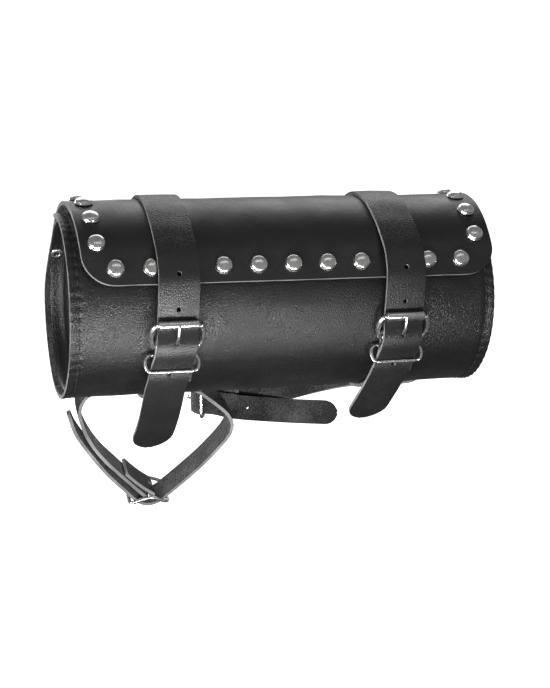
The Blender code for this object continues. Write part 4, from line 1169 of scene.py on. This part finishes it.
def tube_rivet(name, point, axis, grip, body, in_model=True):
    """A tubular rivet with its head at the point, through leather of the grip's thickness."""
    top = RIVET_LIFT
    under = -grip - RIVET_PLAY
    section = [(RIVET_BORE + out, top + up) for out, up in ROLLED_LIP]
    section += [(RIVET_RADIUS * share, top + RIVET_FLANGE * up) for share, up in ROLLED_BACK]
    section += [(RIVET_SHANK, top), (RIVET_SHANK, under), (RIVET_RADIUS, under),
                (RIVET_RADIUS * 0.95, under - RIVET_FLANGE * 0.5), (RIVET_BORE, under - RIVET_FLANGE)]
    piece = turned(name + "_tube", section, placing(point, axis), RIVET_STEPS, NICKEL, closed=True)
    settle(piece, body, "nickel_plate", *([name] if in_model else []))


for side, x in STRAPS:
    one_layer = GAP + STRAP_LEATHER
    top = lap_point(flap_radius(CLOSING_RIVET_ANGLE) + one_layer, CLOSING_RIVET_ANGLE, x)
    tube_rivet(f"closing_rivet_{side}", top, outward(CLOSING_RIVET_ANGLE), one_layer + LEATHER, "flap")
    top = lap_point(BARREL_RADIUS + 2.0 * one_layer, BUCKLE_RIVET_ANGLE, x + BUCKLE_SHIFT)
    grip = 2.0 * one_layer + LEATHER
    tube_rivet(f"buckle_rivet_{side}", top, outward(BUCKLE_RIVET_ANGLE), grip, "barrel")
top = lap_point(INSIDE_FLANGE, FLANGE_RIVET_ANGLE, FLANGE_RIVET_X)
tube_rivet("flange_rivet_left", top, -outward(FLANGE_RIVET_ANGLE), FLANGE_GRIP, "barrel", in_model=False)
print("closing, buckle and flange rivets set")

# %% [markdown]
# Two mounting straps hold the roll to the motorcycle. Each is one narrow strap, riveted near its middle
# under the barrel's back, so that it has a buckle end and a pierced end. The left one hangs in a loop in one
# slanted plane, so its places are given as pairs: along the barrel, and out from the barrel's surface in
# that plane. The right one is buckled up short and lies nearly level, with its end carried off sideways.

# %% Places of the mounting straps
MOUNT_WIDTH = 0.019
MOUNT_LEATHER = 0.0025
MOUNT_ANGLE = 241.6
MOUNT_BAR = 0.0014
MOUNT_FRAME_HALF_WIDTH = 0.0122
MOUNT_PRONG_WIRE = 0.0010
MOUNT_OUT = outward(MOUNT_ANGLE)
MOUNT_ACROSS = -round_the_barrel(MOUNT_ANGLE)
MOUNT_STEP = 0.002
MOUNT_WRAP = MOUNT_BAR + GAP + MOUNT_LEATHER / 2.0
ON_STRAP = BARREL_RADIUS + MOUNT_LEATHER / 2.0 + 2.0 * GAP + STRAP_LEATHER
LEFT_BAR = (-0.0735, 0.1115)
LEFT_BAR_ENDS = ((-0.0590, 0.1165), (-0.0890, 0.1160))
RIGHT_BAR = (-0.0300, 0.0770)
RIGHT_BAR_ENDS = ((-0.0345, 0.0912), (-0.0345, 0.0628))
RIGHT_BUCKLE_Z = -0.0855
WRAP_TURN_STEP = 15.0
LEFT_WRAP = (-42.0, 132.0)
RIGHT_WRAP = (270.0, 90.0)
TURNED_BY_X = -0.014


def hang(x, reach):
    """A point on the left loop's own plane: along the barrel, and out from its surface."""
    return MOUNT_OUT * (BARREL_RADIUS + reach) + Vector((x, 0.0, 0.0))


def level(x, y, z=RIGHT_BUCKLE_Z):
    return Vector((x, y, z))


def wrap_points(bar, start, finish, place):
    """Points round a buckle bar, from one angle to another in the strap's own plane."""
    turns = [math.radians(turn) for turn in laps_between(start, finish, WRAP_TURN_STEP)]
    return [place(bar[0] + MOUNT_WRAP * math.cos(turn), bar[1] + MOUNT_WRAP * math.sin(turn))
            for turn in turns]


def left_mount_path():
    """From the fold-back end, round the middle bar, along the barrel, and round down to the tip."""
    lift = ON_STRAP - BARREL_RADIUS
    fold = [(-0.0930, 0.0884), (-0.0860, 0.0962), (-0.0790, 0.1030)]
    branch = [(-0.0840, 0.1046), (-0.0920, 0.0957), (-0.1016, 0.0846), (-0.1110, 0.0735), (-0.1198, 0.0606),
              (-0.1262, 0.0480), (-0.1300, 0.0380), (-0.1324, 0.0290), (-0.1322, 0.0200), (-0.1286, 0.0120),
              (-0.1215, 0.0068), (-0.1110, lift), (-0.0985, lift)]
    over = [(-0.0820, lift), (-0.0660, lift), (-0.0560, lift + 0.0010), (-0.0470, 0.0095),
            (-0.0375, 0.0170), (-0.0280, 0.0254), (-0.0205, 0.0330), (-0.0155, 0.0415),
            (-0.0145, 0.0490), (-0.0172, 0.0580),
            (-0.0237, 0.0690), (-0.0345, 0.0840), (-0.0455, 0.0970), (-0.0545, 0.1070), (-0.0600, 0.1128),
            (-0.0645, 0.1172), (-0.0690, 0.1198), (-0.0740, 0.1206), (-0.0795, 0.1190), (-0.0848, 0.1148),
            (-0.0893, 0.1099), (-0.0937, 0.1046), (-0.1041, 0.0924), (-0.1146, 0.0783), (-0.1249, 0.0627),
            (-0.1342, 0.0463), (-0.1395, 0.0325)]
    wrap = wrap_points(LEFT_BAR, *LEFT_WRAP, hang)
    start = smooth_path([hang(*spot) for spot in fold], MOUNT_STEP)
    rest = smooth_path([wrap[-1], *[hang(*spot) for spot in branch + over]], MOUNT_STEP)
    path = start + wrap + rest[1:]
    return path, [MOUNT_ACROSS] * len(path)


def eased(first, second, count):
    """Width directions easing from the first to the second over the count of rows."""
    return [first.lerp(second, smoothstep(index / (count - 1))).normalized() for index in range(count)]


def right_mount_path():
    """From the fold-back end, round the middle bar, to the rivets, back and out to the tip."""
    fold = [(-0.0020, 0.0744), (-0.0130, 0.0742), (-0.0230, 0.0740)]
    to_rivets = [(-0.0230, 0.0798), (-0.0130, 0.0788), (-0.0010, 0.0774, -0.0850),
                 (0.0130, 0.0755, -0.0835), (0.0340, 0.0710, -0.0800), (0.0570, 0.0640, -0.0740),
                 (0.0790, 0.0570, -0.0700),
                 (0.0980, 0.0505, -0.0690), (0.1140, 0.0450, -0.0690), (0.1250, 0.0410, -0.0680),
                 (0.1300, 0.0375, -0.0650), (0.1265, 0.0345, -0.0622)]
    to_tip = [(0.0450, 0.0375, -0.0600), (0.0270, 0.0520, -0.0620), (0.0120, 0.0730, -0.0690),
              (-0.0020, 0.0870, -0.0770), (-0.0140, 0.0925, -0.0830), (-0.0260, 0.0906), (-0.0318, 0.0885),
              (-0.0362, 0.0840), (-0.0380, 0.0770), (-0.0368, 0.0704), (-0.0322, 0.0657, -0.0858),
              (-0.0240, 0.0662, -0.0872), (-0.0090, 0.0684, -0.0915), (0.0120, 0.0682, -0.0945),
              (0.0400, 0.0668, -0.0975), (0.0630, 0.0660, -0.0995), (0.0760, 0.0660, -0.1005)]
    riveted = [MOUNT_OUT * ON_STRAP + SIDEWAYS * x for x in (0.1170, 0.0960, 0.0650)]
    wrap = wrap_points(RIGHT_BAR, *RIGHT_WRAP, level)
    start = smooth_path([level(*spot) for spot in fold], MOUNT_STEP)
    run = smooth_path([wrap[-1], *[level(*spot) for spot in to_rivets], riveted[0]], MOUNT_STEP)
    rest = smooth_path([run[-1], *riveted[1:]], MOUNT_STEP)
    back = smooth_path([rest[-1], *[level(*spot) for spot in to_tip]], MOUNT_STEP)
    turning = next(index for index, point in enumerate(back) if point.x < TURNED_BY_X)
    path = start + wrap + run[1:] + rest[1:] + back[1:]
    across = [UPRIGHT] * (len(start) + len(wrap))
    across += eased(UPRIGHT, MOUNT_ACROSS, len(run))[1:]
    across += [MOUNT_ACROSS] * (len(rest) - 1)
    across += eased(MOUNT_ACROSS, UPRIGHT, turning + 1)[1:]
    across += [UPRIGHT] * (len(back) - turning - 1)
    return path, across


print("left loop hangs", round(MM * LEFT_BAR[1]), "mm out from the barrel")

# %% [markdown]
# The mounting straps are worn with the smooth grain on one face and the napped flesh side on the other, and
# their cut edges are as black as the nap. Each has a hole that its prong comes through and a slot where the
# prong's eye turns. The right one shows one more hole of its row.

# %% The mounting straps and their holes
TAIL_HOLE = 0.0726
TAIL_HOLE_RADIUS = 0.0010
MOUNT_CROWN = 0.0002
PIERCE_DEPTH = 0.006
MOUNT_SLOT = (2.0 * (MOUNT_PRONG_WIRE + GAP), 0.0096, 0.0096)
MOUNT_SLOT_BACK = 0.0004
MOUNT_TONGUE_STEP = 0.001
MOUNT_SIZE = (MOUNT_WIDTH, MOUNT_LEATHER)
PRONG_LINES = {
    "left": (LEFT_BAR, hang, [(-0.0722, 0.1146), (-0.0695, 0.1175), (-0.0650, 0.1200), (-0.0600, 0.1203),
                              (-0.0580, 0.1198)]),
    "right": (RIGHT_BAR, level, [(-0.0332, 0.0782), (-0.0362, 0.0800), (-0.0394, 0.0840), (-0.0396, 0.0895),
                                 (-0.0378, 0.0924)]),
}
MOUNT_STRAPS = {"left": (left_mount_path(), (STRAP, SUEDE, SUEDE)),
                "right": (right_mount_path(), (SUEDE, STRAP, SUEDE))}


def tongue_line(side):
    """The middle line of a mounting buckle's prong, from its bar to its tip."""
    _, place, tongue = PRONG_LINES[side]
    return smooth_path([place(*spot) for spot in tongue], MOUNT_TONGUE_STEP)


for side, ((path, across), faces) in MOUNT_STRAPS.items():
    rows = tip_points(path, MOUNT_WIDTH / 2.0)
    widths = across[:len(rows)] + [across[-1]] * max(len(rows) - len(across), 0)
    loop = band(f"mount_leather_{side}", rows, widths, MOUNT_SIZE, faces, crown=MOUNT_CROWN)
    bar, place, tongue = PRONG_LINES[side]
    line = tongue_line(side)
    middle = len(line) // 2
    facing = (line[middle + 1] - line[middle - 1]).normalized()
    punch(loop, [(line[middle], facing)], MOUNT_PRONG_WIRE + GAP, PIERCE_DEPTH)
    ahead = (place(*tongue[0]) - place(*bar)).normalized()
    width_way = (place(bar[0], bar[1] + 1.0) - place(*bar)).cross(place(bar[0] + 1.0, bar[1]) - place(*bar))
    slot_in(loop, place(*bar) - ahead * MOUNT_SLOT_BACK, width_way, ahead, MOUNT_SLOT)
    if side == "right":
        spot, direction = along(path, path[-1], -TAIL_HOLE)
        punch(loop, [(spot, direction.cross(widths[-1]))], TAIL_HOLE_RADIUS)
    settle(loop, "barrel", "suede_side", f"mount_strap_{side}")
    print(loop.name, len(loop.data.polygons), "faces")

# %% [markdown]
# A mounting buckle is bent from one wire, a little wider at its middle bar than at its bows, and the bar
# crosses it. It is drawn in the strap's own directions, so one function serves both sides. Its prong is
# made like the roller buckles', an eye and a tapering tongue.

# %% The mounting buckles
BOW_INSET = 0.0026
BOW_ROUND = 2.2
BOW_SHARE = 0.16
BUCKLE_STEP = 0.0010
BAR_SHARE = 0.98
MOUNT_TAPER = 0.25
MOUNT_RIVET_SHIFT = -0.0012
MOUNT_RIVET_HALF_GAP = 0.0075
FOLD_RIVET_X, FOLD_Y, FOLD_GRIP = -0.0075, 0.0744, 0.0048


def toward(first, second, share):
    return [a + (b - a) * share for a, b in zip(first, second)]


def wire_buckle(side, ends, bar, place, across):
    """A two-window wire buckle: a bent outline with its middle bar joined on."""
    wide = across * MOUNT_FRAME_HALF_WIDTH
    narrow = across * (MOUNT_FRAME_HALF_WIDTH - BOW_INSET)
    bow = across * (MOUNT_FRAME_HALF_WIDTH - BOW_INSET * BOW_ROUND)
    near, far = (place(*toward(end, bar, BOW_SHARE)) for end in ends)
    first, second, centre = place(*ends[0]), place(*ends[1]), place(*bar)
    corners = [first - bow, first - narrow, near - wide, centre - wide, far - wide, second - narrow,
               second - bow, second + bow, second + narrow, far + wide, centre + wide, near + wide,
               first + narrow, first + bow]
    outline = wire(f"mount_wire_{side}", ring_path(corners, BUCKLE_STEP), MOUNT_BAR, closed=True)
    merge(outline, wire(f"mount_bar_{side}", [centre - wide, centre, centre + wide], MOUNT_BAR * BAR_SHARE))
    settle(outline, "barrel", "nickel_plate", f"mount_buckle_{side}")


wire_buckle("left", LEFT_BAR_ENDS, LEFT_BAR, hang, MOUNT_ACROSS)
wire_buckle("right", RIGHT_BAR_ENDS, RIGHT_BAR, level, UPRIGHT)
for side, (bar, place, _) in PRONG_LINES.items():
    reach = MOUNT_BAR + GAP + MOUNT_PRONG_WIRE
    turns = [math.radians(turn) for turn in range(0, 360, 15)]
    eye_path = [place(bar[0] + reach * math.cos(turn), bar[1] + reach * math.sin(turn)) for turn in turns]
    eye = wire(f"mount_prong_wire_{side}", eye_path, MOUNT_PRONG_WIRE, closed=True)
    line = tongue_line(side)
    taper = [1.0 - MOUNT_TAPER * index / (len(line) - 1) for index in range(len(line))]
    merge(eye, wire(f"mount_tongue_{side}", line, MOUNT_PRONG_WIRE, radii=taper))
    settle(eye, "barrel", "nickel_plate", f"mount_prong_{side}")
outer = ON_STRAP + MOUNT_LEATHER / 2.0
for side, x in STRAPS:
    for number, shift in enumerate((-MOUNT_RIVET_HALF_GAP, MOUNT_RIVET_HALF_GAP), start=1):
        top = MOUNT_OUT * outer + SIDEWAYS * (x + MOUNT_RIVET_SHIFT + shift)
        grip = outer - BARREL_RADIUS + LEATHER
        tube_rivet(f"mount_rivet_{side}_{number}", top, MOUNT_OUT, grip, "barrel")
fold_top = level(FOLD_RIVET_X, FOLD_Y - MOUNT_LEATHER / 2.0)
tube_rivet("fold_rivet_right", fold_top, Vector((0.0, -1.0, 0.0)), FOLD_GRIP + MOUNT_LEATHER, "barrel")
print("mounting hardware set")
